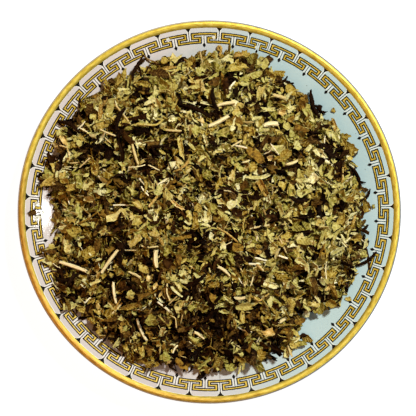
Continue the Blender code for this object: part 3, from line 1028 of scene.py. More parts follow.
def shredShape(name, draw, length, width, roll, arch, twist):  # a long torn strip
    work = newWork()
    phase = draw.uniform(0, 50)
    sway = draw.uniform(-0.35, 0.35) * length
    rows = []
    for step in range(6):
        along = step / 5 * 2 - 1
        slim = (1 - 0.55 * abs(along) ** 3) * draw.uniform(0.7, 1.15)
        row = []
        for side in (-1, 0, 1):
            spot = (along * length + draw.uniform(-0.1, 0.1) * width, side * width * slim)
            place = foldPoint(spot, (), roll, arch, 0.5 * mm, phase)
            place.y += sway * (1 - along * along)
            turn = Matrix.Rotation(twist * along, 3, "X")
            row.append(addVert(work, turn @ place, (*spot, phase)))
        rows.append(row)
    addQuads(work, rows, False)
    closeSheet(work, flakeShapes["thickness"])
    return shapeMesh(name, work)


def crumbShape(name, draw):
    work = newWork()
    ring = []
    slim = draw.uniform(0.35, 0.8)
    for i in range(5):
        angle = math.tau * (i + draw.uniform(-0.35, 0.35)) / 5
        reach = draw.uniform(0.6, 1.25) * mm
        spot = (math.cos(angle) * reach * 1.2, math.sin(angle) * reach * slim)
        ring.append(addVert(work, (*spot, draw.uniform(-0.35, 0.35) * mm), (*spot, 0.0)))
    work.faces.new(ring)
    bmesh.ops.triangulate(work, faces=work.faces)
    closeSheet(work, flakeShapes["thickness"])
    return shapeMesh(name, work, 15)


def stickShape(name, draw):
    work = newWork()
    length, radius = draw.uniform(1.6, 3.8) * mm, draw.uniform(0.13, 0.27) * mm
    bend = draw.uniform(-0.22, 0.22) * length
    rings = []
    for step in range(4):
        along = step / 3 * 2 - 1
        ring = []
        for i in range(5):
            angle = math.tau * i / 5
            reach = radius * (1 - 0.3 * along * along) * draw.uniform(0.8, 1.2)
            y = math.cos(angle) * reach * 1.4 + bend * (1 - along * along)
            x, z = along * length, math.sin(angle) * reach
            ring.append(addVert(work, (x, y, z), (x, y, 0.0)))
        rings.append(ring)
    closeTube(work, rings)
    return shapeMesh(name, work, 55)


def shapeSet(name, meshes):
    group = bpy.data.collections.new(name)
    bpy.context.scene.collection.children.link(group)
    clouds = []
    for i, mesh in enumerate(meshes):
        group.objects.link(bpy.data.objects.new(f"{name}_{i:02d}", mesh))
        points = [v.co for v in mesh.vertices] + [f.center for f in mesh.polygons]
        clouds.append(np.array(points))
    return group, clouds


def buildShapes():
    draw = random.Random(flakeShapes["seed"])
    made = {"piece": [], "shred": [], "curl": []}
    for kind, meshes in made.items():
        ranges = flakeShapes[kind]
        for i in range(ranges["count"]):
            name = f"{kind}Shape{i}"
            length, width = (draw.uniform(*ranges[key]) * mm for key in ("length", "width"))
            if kind == "piece":
                creases = draw.choice(ranges["creases"])
                roll, arch, wave = (draw.uniform(*ranges[key]) for key in ("roll", "arch", "wave"))
                meshes.append(pieceShape(name, draw, length, width, creases, roll, arch, wave * mm))
            else:
                sign = draw.choice((-1, 1)) if ranges["eitherWay"] else 1
                roll, arch, twist = (draw.uniform(*ranges[key]) for key in ("roll", "arch", "twist"))
                meshes.append(shredShape(name, draw, length, width, sign * roll, arch, twist))
    made["crumb"] = [crumbShape(f"crumbShape{i}", draw) for i in range(flakeShapes["crumbCount"])]
    made["stick"] = [stickShape(f"stickShape{i}", draw) for i in range(flakeShapes["stickCount"])]
    return {kind: shapeSet(kind + "Shapes", meshes) for kind, meshes in made.items()}


shapes = buildShapes()
print("flake shapes made")


veinStrength = 0.42


def driedLeafFinish(name, stops, roughness=0.8, veins="#D8C97C", gloss=0.1):
    # Dried mint leaf: matt, brittle and finely wrinkled, mottled where it browned in drying,
    # with paler veins, painted shade in the low parts of the wrinkles and a faint dry sheen on the raised
    # parts
    made, add, shader, place = newMaterial(name, roughness, gloss)
    tint = add("Attribute", attribute_name="tint", attribute_type="GEOMETRY")
    leaf = add("Attribute", attribute_name="leafPlace", attribute_type="GEOMETRY")
    mottle = add("TexNoise", {"Vector": place, "Scale": perMm(1.6), "Detail": 2.0})
    spread = add("MapRange", (mottle, 0.3, 0.7, -0.23, 0.25))
    mixed = add("Math.ADD", (tint.outputs["Fac"], spread))
    base = add("ValToRGB", (mixed,), stops=stops)
    # side veins slant forward from the midrib, which runs along the leaf's own X
    spot = add("SeparateXYZ", (leaf.outputs["Vector"],))
    aside = add("Math.ABSOLUTE", (spot.outputs["Y"],))
    slant = add("Math.MULTIPLY_ADD", (aside, -0.8, spot.outputs["X"]))
    sway = add("Math.MULTIPLY_ADD", (mottle, 1.2 * mm, slant))
    phase = add("Math.MULTIPLY", (sway, math.tau * perMm(1.5)))
    rib = add("Math.SINE", (phase,))
    midrib = add("MapRange", (aside, 0.08 * mm, 0.2 * mm, 1.0, -1.0))
    ridge = add("Math.MAXIMUM", (rib, midrib))
    vein = add("MapRange", (ridge, 0.75, 1.0, 0.0, veinStrength))
    ribbed = add("Mix.RGBA", {0: vein, 6: base, 7: hexColour(veins)})
    wrinkle = add("TexNoise", {"Vector": place, "Scale": perMm(0.9), "Detail": 3.0, "Roughness": 0.6})
    # painted shade: the low parts of the wrinkles are darkened towards the darkest colour
    wrinkleShade = add("MapRange", (wrinkle, 0.34, 0.46, 0.5, 0.0))
    colour = add("Mix.RGBA", {0: wrinkleShade, 6: ribbed, 7: hexColour(stops[0][1])})
    bump = add("Bump", {"Height": wrinkle, "Strength": 0.6, "Distance": 0.25 * mm})
    raised = add("Bump", {"Height": ridge, "Strength": 0.6, "Distance": 0.12 * mm, "Normal": bump})
    feed(shader, {"Base Color": colour, "Normal": raised})
    return made


def stalkFinish():
    # Dry mint stem: straw, pale and fibrous along its length, with a dull waxy skin
    made, add, shader = newMaterial("dryStem", 0.6)[:3]
    tint = add("Attribute", attribute_name="tint", attribute_type="GEOMETRY")
    leaf = add("Attribute", attribute_name="leafPlace", attribute_type="GEOMETRY")
    stretch = add("Mapping", {"Vector": leaf.outputs["Vector"], "Scale": (0.12, 1.0, 1.0)})
    fibre = add("TexNoise", {"Vector": stretch, "Scale": perMm(0.25), "Detail": 2.0})
    spread = add("MapRange", (fibre, 0.3, 0.7, -0.22, 0.22))
    mixed = add("Math.ADD", (tint.outputs["Fac"], spread))
    stops = [(0.0, "#988044"), (0.35, "#C6B06E"), (0.7, "#E0D4A2"), (1.0, "#F2EBCA")]
    colour = add("ValToRGB", (mixed,), stops=stops)
    bump = add("Bump", {"Height": fibre, "Strength": 0.4, "Distance": 0.12 * mm})
    feed(shader, {"Base Color": colour, "Normal": bump})
    return made


# name, ramp, roughness, veins and gloss
leafFinishes = {
    "olive": ("oliveDriedLeaf", ((0.0, "#3E2602"), (0.35, "#7C610E"), (0.7, "#AD9A46"), (1.0, "#C8BB7C"))),
    "green": ("greenDriedLeaf", ((0.0, "#382A04"), (0.35, "#6C6116"), (0.7, "#9C9646"), (1.0, "#BFB978"))),
    "pale": (
        "paleLeafUnderside", ((0.0, "#8A7A30"), (0.4, "#B0A860"), (0.75, "#C8C288"), (1.0, "#DAD5AA")), 0.88,
    ),
    "tan": ("tannedLeaf", ((0.0, "#66450F"), (0.4, "#9A7830"), (0.75, "#C4A65C"), (1.0, "#E2CC90"))),
    "brown": (
        "brownedLeaf", ((0.0, "#1B0C01"), (0.4, "#3B2605"), (0.75, "#644812"), (1.0, "#96772A")), 0.8,
        "#8A6A34",
    ),
    "dark": (
        "blackenedLeaf", ((0.0, "#050100"), (0.45, "#130600"), (0.8, "#271203"), (1.0, "#42280A")), 0.75,
        "#32210C", 0.05,
    ),
}
finishes = {name: driedLeafFinish(*looks) for name, looks in leafFinishes.items()}
finishes["stalk"] = stalkFinish()


def slotFor(finish):
    return {"dark": "dark_leaf", "stalk": "stalk"}.get(finish, "leaf")


# Kinds of flake in the heap: the share of the flakes that each makes up, and how much it keeps
# to the dark patches of the heap, which are partly painted shade
flakeKinds = {
    "olivePieces": {"share": 0.15, "patch": -0.5, "shapes": "piece", "finish": "olive"},
    "greenPieces": {"share": 0.12, "patch": -0.3, "shapes": "piece", "finish": "green"},
    "palePieces": {"share": 0.09, "patch": -1.6, "shapes": "piece", "finish": "pale"},
    "brownPieces": {"share": 0.11, "patch": 1.2, "shapes": "piece", "finish": "brown"},
    "oliveShreds": {"share": 0.11, "patch": 0.0, "shapes": "shred", "finish": "olive"},
    "paleShreds": {"share": 0.10, "patch": -1.0, "shapes": "shred", "finish": "pale"},
    "darkCurls": {"share": 0.11, "patch": 1.6, "shapes": "curl", "finish": "dark"},
    "darkPieces": {"share": 0.05, "patch": 1.6, "shapes": "piece", "finish": "dark"},
    "oliveCrumbs": {"share": 0.11, "patch": -0.5, "shapes": "crumb", "finish": "olive"},
    "stemBits": {"share": 0.05, "patch": 0.0, "shapes": "stick", "finish": "stalk"},
}

fall = {
    "most": 13000,
    "lean": 0.7,
    "slopeShare": 0.6,
    "steepest": 0.8,
    "edgeInset": 1.2 * mm,
    "edgeBand": 12 * mm,
    "edgeShare": 0.3,
    "sizeMiddle": 1.12,
    "sizeSpread": 0.34,
    "smallest": 0.55,
    "largest": 2.1,
    "spacing": 0.14 * mm,
    "patchSize": 9 * mm,
    # painted light: paler kinds gather towards the lit side at this bearing, darker ones away from it
    "paler": 0.45,
    "palerBearing": 45.0,
    # darker and lighter patches as in the photograph, partly the leaves' own uneven tone and partly painted
    # shade: across, down and reach in its pixels, amount
    "patches": (
        (165, 322, 26, 0.7), (205, 318, 26, 0.6), (110, 312, 24, 0.5), (265, 320, 20, 0.5),
        (278, 98, 26, 0.8), (265, 145, 18, 0.6), (240, 78, 20, 0.4), (190, 148, 18, 0.5),
        (315, 120, 18, 0.4), (115, 170, 18, 0.5), (215, 265, 22, 0.5), (240, 215, 16, 0.4),
        (235, 350, 30, 0.4), (115, 120, 18, -0.6), (240, 292, 14, -0.6), (290, 292, 16, -0.6),
        (215, 188, 16, -0.4), (310, 248, 16, -0.4), (66, 222, 30, -0.8), (114, 192, 18, -0.5),
        (165, 95, 18, -0.5), (290, 120, 14, -0.3), (300, 172, 22, -0.3), (240, 345, 20, 0.5),
        (165, 345, 14, -0.4), (145, 272, 22, 0.3), (116, 222, 16, 0.6), (215, 195, 14, -0.3),
        (340, 170, 14, 0.3),
    ),
    "tintSeed": 31,
    "tints": (0.05, 0.95),
    "dressing": 700,
    "dressingKinds": ("olivePieces", "greenPieces", "brownPieces"),
    "dressingSize": 1.4,
    "dressingSpread": (0.75, 1.25),
    "dressingLean": 0.3,
}


def turnMatrix(normal, heading):
    up = normal / np.linalg.norm(normal)
    side = np.array((math.cos(heading), math.sin(heading), 0.0))
    ahead = np.cross(up, side)
    ahead /= np.linalg.norm(ahead)
    return np.column_stack((np.cross(ahead, up), ahead, up))


def headroom(points, spot, lift):  # least room between the points and what lies over them
    rows, columns = cellsOf(points + np.array((spot[0], spot[1], 0.0)))
    return float((roof[rows, columns] - points[:, 2] - lift).min())


def looseness(x, y):  # the flakes lie flatter towards the heap's edge
    inward = float(gridInward[cellAt(x, y)])
    return fall["edgeShare"] + (1 - fall["edgeShare"]) * min(1.0, max(0.0, inward / fall["edgeBand"]))


def leaning(x, y, share, tip, step=2.1 * mm):  # the way up of a flake that lies there
    tilt = np.array(slopeAt(x, y, step)) * share
    return np.array((*(tip - np.clip(tilt, -fall["steepest"], fall["steepest"])), 1.0))


def layFlake(draw, x, y, name, size, lean):
    clouds = shapes[flakeKinds[name]["shapes"]][1]
    which = int(draw.integers(len(clouds)))
    loose = looseness(x, y)
    normal = leaning(x, y, fall["slopeShare"] * loose, draw.normal(0, lean * loose, 2))
    turn = turnMatrix(normal, float(draw.uniform(0, math.tau)))
    points = (clouds[which] * size) @ turn.T
    lift = restOn(points, (x, y), pile["settle"])
    if headroom(points, (x, y), lift) < heap["clearance"]:
        return None
    cover(points, (x, y), lift, fall["spacing"])
    return (x, y, lift), tuple(Matrix(turn.tolist()).to_euler()), size, which


def patchAt(x, y):  # above 0 where the dark kinds gather, by the leaves' uneven tone and by painted shade; painted light lowers it towards the lit side
    found = noise.noise(Vector((x, y, 0.0)) / fall["patchSize"]) * 2
    ahead = onBearing(1.0, fall["palerBearing"])
    found -= fall["paler"] * (x * ahead[0] + y * ahead[1]) / heap["radius"]
    for across, down, reach, amount in fall["patches"]:
        spotX, spotY = atPixel(across, down)
        away = math.hypot(x - spotX, y - spotY) / (reach * pixel)
        found += amount * math.exp(-away * away)
    return found


def layFlakes():
    draw = np.random.default_rng(pile["seed"])
    names = list(flakeKinds)
    shares = np.array([flakeKinds[name]["share"] for name in names])
    patches = np.array([flakeKinds[name]["patch"] for name in names])
    laid = {name: [] for name in names}
    for flake in range(fall["most"] + fall["dressing"]):
        dressing = flake >= fall["most"]
        bearing = draw.random() * 360
        reach = math.sqrt(draw.random()) * (float(heapEdge(bearing)) - fall["edgeInset"])
        x, y = onBearing(reach, bearing)
        cell = cellAt(x, y)
        if not dressing and goal[cell] < height[cell]:
            continue
        chances = shares * np.exp(patches * patchAt(x, y))
        name = names[int(draw.choice(len(names), p=chances / chances.sum()))]
        if dressing and name not in fall["dressingKinds"]:
            continue
        size = fall["sizeMiddle"] * math.exp(draw.normal(0, fall["sizeSpread"]))
        size = min(fall["largest"], max(fall["smallest"], size))
        lean = fall["lean"]
        if dressing:
            size = fall["dressingSize"] * float(draw.uniform(*fall["dressingSpread"]))
            lean = fall["dressingLean"]
        found = layFlake(draw, x, y, name, size, lean)
        if found:
            laid[name].append(found)
    print("flakes laid:", {name: len(rows) for name, rows in laid.items()})
    return laid


def flakeTree():
    tree, add, source, result = newTree(
        "laidFlakes", Collection=["Shapes"], Int=["Tint Seed"], Float=["Tint Low", "Tint High"],
        Material=["Finish"],
    )
    given = source.outputs
    tint = add(
        "FunctionNodeRandomValue", {2: given["Tint Low"], 3: given["Tint High"], 8: given["Tint Seed"]},
        data_type="FLOAT",
    )
    kept = add(
        "GeometryNodeStoreNamedAttribute", {"Geometry": given["Geometry"], "Name": "tint", "Value": tint},
        data_type="FLOAT", domain="POINT",
    )
    group = add(
        "GeometryNodeCollectionInfo",
        {"Collection": given["Shapes"], "Separate Children": True, "Reset Children": True},
    )
    which = add("GeometryNodeInputNamedAttribute", {"Name": "shape"}, data_type="INT")
    angles = add("GeometryNodeInputNamedAttribute", {"Name": "turn"}, data_type="FLOAT_VECTOR")
    size = add("GeometryNodeInputNamedAttribute", {"Name": "size"}, data_type="FLOAT")
    turn = add("FunctionNodeEulerToRotation", (angles,))
    laid = add(
        "GeometryNodeInstanceOnPoints",
        {"Points": kept, "Instance": group, "Pick Instance": True, "Instance Index": which,
         "Rotation": turn, "Scale": size},
    )
    real = add("GeometryNodeRealizeInstances", {"Geometry": laid})
    done = add("GeometryNodeSetMaterial", {"Geometry": real, "Material": given["Finish"]})
    feed(result, {0: done})
    return tree


def buildFlakes():
    tree = flakeTree()
    for order, (name, rows) in enumerate(layFlakes().items()):
        kind = flakeKinds[name]
        mesh = bpy.data.meshes.new(name + "Places")
        mesh.from_pydata([row[0] for row in rows], [], [])  # place, turn, size, shape
        addAttribute(mesh, "turn", "FLOAT_VECTOR", [angle for row in rows for angle in row[1]])
        addAttribute(mesh, "size", "FLOAT", [row[2] for row in rows])
        addAttribute(mesh, "shape", "INT", [row[3] for row in rows])
        obj = newObject(name + "Places", mesh)
        addTree(obj, tree, {
            "Shapes": shapes[kind["shapes"]][0],
            "Tint Seed": fall["tintSeed"] + order,
            "Tint Low": fall["tints"][0],
            "Tint High": fall["tints"][1],
            "Finish": finishes[kind["finish"]],
        })
        made = newObject(name, plainMesh(obj, name), finishes[kind["finish"]])
        finishPiece(made, slotFor(kind["finish"]), "leaf_heap")


buildFlakes()
print("flakes laid")


def leafSheet(draw, length, width, creases, roll, curl, wave, bend=0.0):  # a larger leaf
    sides, rings = chosen["leafSides"], chosen["leafRings"]
    work = newWork()
    phase = draw.uniform(0, 50)
    square = draw.uniform(0.0, 0.7)
    tears = [draw.choice(chosen["tears"]) * draw.uniform(0.92, 1.06) for i in range(sides)]
    centre = foldPoint((0, 0), creases, roll, 0.0, wave, phase) + Vector((0, bend, 0))
    middle = addVert(work, centre, (0, 0, phase * mm))
    rows = []
    for ring in range(1, rings + 1):
        share = ring / rings
        row = []
        for i in range(sides):
            angle = math.tau * (i + 0.2 * math.sin(i * 5.3 + phase)) / sides
            c, s = math.cos(angle), math.sin(angle)
            reach = share * (1 + (tears[i] - 1) * share ** 2) * (1 + square * (1 / max(abs(c), abs(s)) - 1))
            spot = (c * length * reach, s * width * reach)
            place = foldPoint(spot, creases, roll, 0.0, wave, phase)
            place.y += bend * (1 - (spot[0] / length) ** 2)
            place.z += curl * share ** 4 * (0.6 + 0.8 * noise.noise(Vector((angle * 1.3, phase, 0))))
            row.append(addVert(work, place, (*spot, phase * mm)))
        rows.append(row)
    addFan(work, middle, rows[0])
    addQuads(work, rows, True)
    return work


# Leaves that stand out in the photograph, one by one: place across and down and size in its
# pixels, heading in degrees from across towards up, then the finish and how light it is
chosenLeaves = (
    (92.5, 111.5, 95, 16, 12, "brown", 0.35), (105, 102.5, 80, 12, 8, "tan", 0.5),
    (101.7, 113, 88, 17, 5, "tan", 0.2), (107.5, 84, -60, 13, 7, "olive", 0.35),
    (113.3, 94, 88, 9, 5, "green", 0.6), (171.7, 91.7, 40, 17, 10, "pale", 0.1),
    (150, 102.5, 25, 14, 6, "pale", 0.75), (143, 126.7, -5, 22, 4.5, "olive", 0.7),
    (173, 120, 30, 9, 8, "pale", 0.8), (182.5, 150, -78, 25, 6, "olive", 0.75),
    (181, 166.7, 35, 23, 4, "tan", 0.6), (205, 141.7, -70, 12, 4, "pale", 0.8),
    (192.5, 147.5, -50, 10, 5, "pale", 0.35), (200.8, 122.5, 10, 10, 7, "tan", 0.8),
    (166.7, 195, -50, 15, 10, "pale", 0.4), (178.3, 205, -38, 17, 4, "tan", 0.85),
    (74, 188, 15, 14, 8, "olive", 0.5), (66.7, 180, 10, 12, 8, "olive", 0.5),
    (48, 182, 35, 17, 5, "olive", 0.55), (60, 188, -10, 15, 8, "brown", 0.35),
    (65, 141, -55, 13, 5, "tan", 0.8), (73, 145, 5, 10, 8, "olive", 0.5), (80, 155, 50, 10, 7, "pale", 0.2),
    (162.5, 75, -10, 30, 9, "brown", 0.35), (166.7, 70, 18, 24, 5, "tan", 0.35),
    (168, 60, 12, 16, 9, "olive", 0.5), (124, 74, 75, 14, 6, "olive", 0.5),
    (120, 82, 40, 12, 6, "olive", 0.45), (210, 95, 80, 14, 10, "pale", 0.35),
    (181.7, 103, 5, 12, 9, "pale", 0.35), (195, 88, 10, 14, 5, "pale", 0.3),
    (205, 70, 20, 20, 12, "green", 0.75), (190, 62, 30, 13, 9, "olive", 0.4),
    (203, 53.5, 20, 13, 8, "olive", 0.25), (235, 68, 10, 25, 10, "olive", 0.6),
    (243, 56, 40, 14, 10, "olive", 0.5), (253, 59, 70, 14, 12, "green", 0.5),
    (250, 77, 20, 25, 9, "green", 0.7), (270, 75, -50, 14, 8, "olive", 0.5),
    (280, 73, -10, 12, 7, "olive", 0.4), (263, 82, 35, 14, 8, "green", 0.75),
    (290, 90, -30, 14, 9, "olive", 0.5), (213, 77, 30, 12, 6, "green", 0.7),
    (200, 79, 5, 16, 7, "dark", 0.7), (215, 92, 80, 16, 10, "pale", 0.25),
    (225, 72, 30, 13, 8, "green", 0.5), (182, 80, 40, 14, 8, "olive", 0.5),
    (147, 85, 10, 14, 8, "olive", 0.45), (239, 55, 10, 10, 4.5, "tan", 0.5),
    (266.7, 109.7, 0, 18, 5, "pale", 0.5), (281.7, 113.3, 10, 9, 7, "tan", 0.7),
    (285.8, 125.8, 80, 11, 8, "pale", 0.3), (305, 110.8, 70, 14, 10, "green", 0.7),
    (231.7, 123.3, -20, 16, 8, "olive", 0.25), (253, 155, -45, 24, 10, "brown", 0.85),
    (269, 159, 40, 7, 6, "tan", 0.9), (284, 156, 45, 16, 9, "olive", 0.5),
    (296, 146.7, 20, 12, 9, "pale", 0.5), (307, 149, 45, 10, 5, "pale", 0.6),
    (288, 174, -50, 11, 6, "pale", 0.55), (298, 183, -55, 11, 7, "pale", 0.5),
    (308, 172, 60, 12, 8, "pale", 0.35), (318, 181, -30, 13, 8, "pale", 0.4),
    (330, 174, 50, 12, 8, "pale", 0.35), (335, 186, 20, 11, 6, "pale", 0.45),
    (325, 191, -20, 12, 7, "pale", 0.2), (256.7, 176.7, 4, 22, 4.5, "pale", 0.65),
    (262.5, 188, -63, 18, 9, "tan", 0.35), (254, 201, -50, 15, 8, "pale", 0.2),
    (350, 148, -40, 17, 12, "olive", 0.42), (346.7, 163, 30, 17, 13, "olive", 0.5),
    (334, 125, -75, 15, 5, "tan", 0.25), (345, 136.7, 0, 13, 8, "olive", 0.38),
    (366.5, 205, -60, 17, 12, "olive", 0.33), (355, 181.7, 50, 17, 12, "olive", 0.45),
    (74, 232.5, 40, 18, 13, "olive", 0.5), (67, 220, 0, 5, 4, "tan", 0.7),
    (51.5, 202, 70, 7, 5.5, "olive", 0.4), (57, 213, -40, 10, 8, "brown", 0.5),
    (55, 230, 70, 10, 8, "pale", 0.05), (49, 250, -8, 19, 7, "brown", 0.5),
    (50, 258, -30, 10, 8, "olive", 0.4), (90, 253, 30, 15, 11, "olive", 0.4),
    (145, 267, -30, 15, 8, "olive", 0.7), (137, 240, 45, 17, 6, "olive", 0.75),
    (181.7, 236.7, 4, 25, 4.5, "brown", 0.9), (162.5, 241, -65, 14, 4, "tan", 0.4),
    (185, 256.7, 30, 10, 9, "pale", 0.15), (192.5, 260, 65, 14, 7, "green", 0.55),
    (131.7, 294, 60, 10, 9, "pale", 0.3), (121.7, 286.7, 30, 14, 12, "olive", 0.5),
    (150, 277.5, 75, 9, 6, "tan", 0.85), (156.7, 285, 60, 8, 6, "tan", 0.9),
    (161.7, 292.5, 60, 7, 4, "tan", 0.8), (131.7, 305, 20, 24, 8, "olive", 0.45),
    (68, 303, -35, 17, 9, "green", 0.4), (82.5, 308, -40, 14, 8, "olive", 0.6),
    (92.5, 320, 10, 10, 8, "olive", 0.42), (97.5, 311.7, -35, 10, 3.5, "olive", 0.5),
    (151, 319, -45, 17, 12, "green", 0.5), (122.5, 329, -60, 11, 5, "tan", 0.35),
    (166.7, 355, 30, 14, 11, "green", 0.55), (152, 363, 8, 20, 10, "olive", 0.3),
    (169, 361, 0, 5, 4, "tan", 0.75), (191, 370, 60, 9, 7, "dark", 0.5),
    (182, 363, -50, 18, 9, "brown", 0.9), (203, 362, 35, 18, 8, "green", 0.65),
    (216, 361, 70, 12, 10, "olive", 0.25), (208, 371, 60, 9, 7, "brown", 0.75),
    (216.7, 256, -30, 17, 11, "olive", 0.75), (234, 229, 50, 9, 8, "pale", 0.3),
    (241, 239, -50, 11, 7, "pale", 0.4), (250, 246, 30, 10, 7, "pale", 0.35),
    (300, 261, -40, 14, 8, "pale", 0.65), (306, 267.5, -60, 10, 6, "pale", 0.6),
    (269, 283, -10, 16, 7, "pale", 0.85), (280, 289, 75, 10, 6, "pale", 0.3),
    (278, 273, -70, 24, 13, "olive", 0.3), (249, 288, 20, 14, 9, "green", 0.2),
    (244, 305, 5, 18, 8, "pale", 0.2), (227.5, 297.5, -35, 13, 4, "pale", 0.5),
    (300, 226.7, 3, 22, 10, "green", 0.35), (268, 332.5, 20, 13, 10, "tan", 0.8),
    (303, 343, 0, 15, 8, "green", 0.45), (300, 321, 20, 12, 9, "brown", 0.8),
    (229, 367, -5, 17, 9, "green", 0.55), (243, 359, -30, 13, 9, "olive", 0.4),
    (260, 355, 60, 14, 11, "olive", 0.33), (356.7, 266.7, 60, 10, 8, "brown", 0.9),
    (355, 236.7, 60, 15, 12, "olive", 0.5), (343, 243, -45, 10, 4, "pale", 0.9),
    (346, 240, 40, 9, 3.5, "pale", 0.9), (336.7, 251, 25, 17, 4.5, "pale", 0.6),
    (320, 238, 62, 22, 6, "pale", 0.15), (303, 240, -10, 18, 10, "pale", 0.1),
    (310, 241.7, 30, 7, 6, "pale", 0.6), (286.7, 213, 40, 13, 4, "pale", 0.5),
    (285, 235, 25, 12, 8, "olive", 0.6), (353, 220, 70, 12, 4.5, "tan", 0.5),
    (315, 271, 80, 9, 3.5, "pale", 0.5), (329, 287.5, 10, 12, 5, "tan", 0.7),
    (257.5, 250, 20, 8, 6, "tan", 0.5), (320, 309, 15, 15, 12, "green", 0.45),
    (331, 303, 60, 15, 12, "olive", 0.5), (290, 305, 75, 18, 12, "olive", 0.65),
    (223, 215, -40, 17, 7, "pale", 0.2), (139, 117, 8, 21, 10, "dark", 0.7),
    (187, 112, -27, 38, 4.5, "dark", 0.7), (68, 122.5, 2, 23, 4, "dark", 0.5),
    (70, 133, -30, 17, 6, "dark", 0.5), (111.7, 155, 50, 15, 12, "dark", 0.4),
    (161.7, 146.7, 5, 22, 8, "dark", 0.5), (169, 170, -70, 24, 6, "dark", 0.5),
    (225, 88, -85, 20, 6, "dark", 0.85), (230, 155, 0, 30, 5, "dark", 0.5),
    (233, 193, -25, 35, 5, "dark", 0.6), (223, 112, 10, 36, 5, "dark", 0.6),
    (291.7, 168, 15, 28, 7, "dark", 0.5), (313, 97, -75, 14, 4, "dark", 0.3),
    (320, 111, -50, 14, 8, "dark", 0.5), (311, 133, 20, 14, 9, "dark", 0.5),
    (326.7, 153, -35, 20, 7, "dark", 0.4), (337, 171, 80, 18, 8, "dark", 0.6),
    (345, 261.7, -30, 22, 9, "dark", 0.4), (303, 217, 5, 28, 6, "dark", 0.5),
    (302, 336, 10, 12, 7, "dark", 0.6), (181, 342, 30, 14, 7, "brown", 0.6),
    (100, 245, 70, 14, 9, "brown", 0.6), (125, 262, 75, 12, 7, "olive", 0.6),
    (213, 282, 30, 12, 8, "olive", 0.4),
)
# Thin stems the same way: the points that each runs through, its width, finish and tint
chosenStems = (
    (((143.5, 54), (141, 59), (137.5, 62), (136, 67)), 1.8, "dark", 0.7),
    (((137, 64), (140, 69), (141.5, 77)), 2.2, "dark", 0.6),
    (((143.5, 54), (147, 59), (154, 61), (160, 66)), 1.7, "tan", 0.05),
    (((160, 65), (152, 63), (148, 68), (146, 73)), 1.9, "dark", 0.8),
    (((68, 147), (70, 153), (71, 161)), 1.3, "tan", 0.9),
    (((55, 147), (62, 146), (68, 148)), 1.6, "tan", 0.9),
    (((92, 159), (86, 164), (81, 168)), 1.6, "stalk", 0.5),
    (((101, 130), (109, 134), (117, 137)), 1.6, "stalk", 0.6),
    (((105, 137.5), (112, 144)), 1.2, "stalk", 0.4),
    (((114, 103), (124, 115), (132, 126)), 1.8, "stalk", 0.35),
    (((142.5, 187), (145, 191), (150, 196)), 1.6, "stalk", 0.9),
    (((150, 207), (154, 202), (159, 196)), 2.4, "tan", 0.7),
    (((235, 82.5), (231, 87), (229, 91)), 1.9, "stalk", 0.9),
    (((269, 145), (273, 150), (278, 156)), 1.3, "stalk", 0.9),
    (((263, 155), (268, 153), (272, 148)), 1.2, "stalk", 0.8),
    (((235, 147), (241, 148), (246, 149.5)), 2.1, "stalk", 1.0),
    (((342, 167.5), (341.5, 174), (341, 181)), 1.3, "tan", 0.7),
    (((348, 158), (354, 162), (357.5, 166), (354, 171), (348, 173)), 1.8, "dark", 0.8),
    (((79, 223), (88, 220), (99, 212)), 1.5, "brown", 0.9),
    (((99, 212), (102, 216), (104, 221)), 1.2, "tan", 0.4),
    (((120, 249.5), (138, 249.5)), 1.2, "stalk", 0.5),
    (((142.5, 245), (150, 247), (160, 245.5)), 1.7, "stalk", 0.4),
    (((168, 282), (167.5, 291), (171, 299)), 1.7, "stalk", 0.5),
    (((169, 303), (177.5, 294.5)), 1.3, "stalk", 0.4),
    (((171, 314), (176, 316), (177, 326)), 1.3, "stalk", 0.3),
    (((183, 313), (181, 322)), 1.2, "stalk", 0.3),
    (((173, 352), (175, 347), (178, 344)), 1.9, "stalk", 0.7),
    (((217, 227), (226, 232), (237, 241)), 1.7, "tan", 0.6),
    (((244, 217), (242, 225), (243, 232)), 1.8, "olive", 0.7),
    (((253, 295), (258, 300), (268, 292)), 1.8, "tan", 0.7), (((283, 308), (290, 320)), 1.5, "olive", 0.3),
    (((254, 256.5), (261, 258.5), (266, 260)), 2.0, "stalk", 1.0),
    (((277, 254.5), (286, 257.5)), 2.0, "stalk", 0.9), (((256, 263), (262, 269)), 2.0, "tan", 0.9),
    (((366, 246), (369, 256), (370, 270)), 2.0, "dark", 0.9),
    (((50, 268), (55, 264), (59, 262)), 1.4, "brown", 0.6),
    (((138, 126), (158, 127), (164, 121)), 2.4, "olive", 0.75),
    (((148, 170), (151, 178), (155, 184)), 2.2, "dark", 0.7),
    (((115, 313), (118, 304), (122, 298)), 2.2, "tan", 0.5),
)
chosen = {
    "thickness": 0.15 * mm,
    "lean": 0.1,
    "slopeShare": 0.5,
    "slopeStep": 3.5 * mm,
    "settle": 0.8,
    # leaves wider than the broad share of their length crease at random, the others fold along
    # the midrib; the rolls of slim and dark ones are in radians across half the width
    "broad": 0.5,
    "slim": 0.35,
    "crease": (0.35, 0.95),
    "fold": (0.4, 1.0),
    "broadRoll": (-160, 160),
    "slimRoll": (0.25, 0.7),
    "darkRoll": (1.4, 2.2),
    "darkWider": 1.5,
    "bend": (-0.16, 0.16),
    "curl": 0.5 * mm,
    "wave": 0.7 * mm,
    "tears": (1.0, 1.0, 0.9, 1.1, 0.72),
    "leafSides": 16,
    "leafRings": 4,
    "stemSides": 7,
    "stemRings": 12,
    "seed": 83,
}
gathered = {}


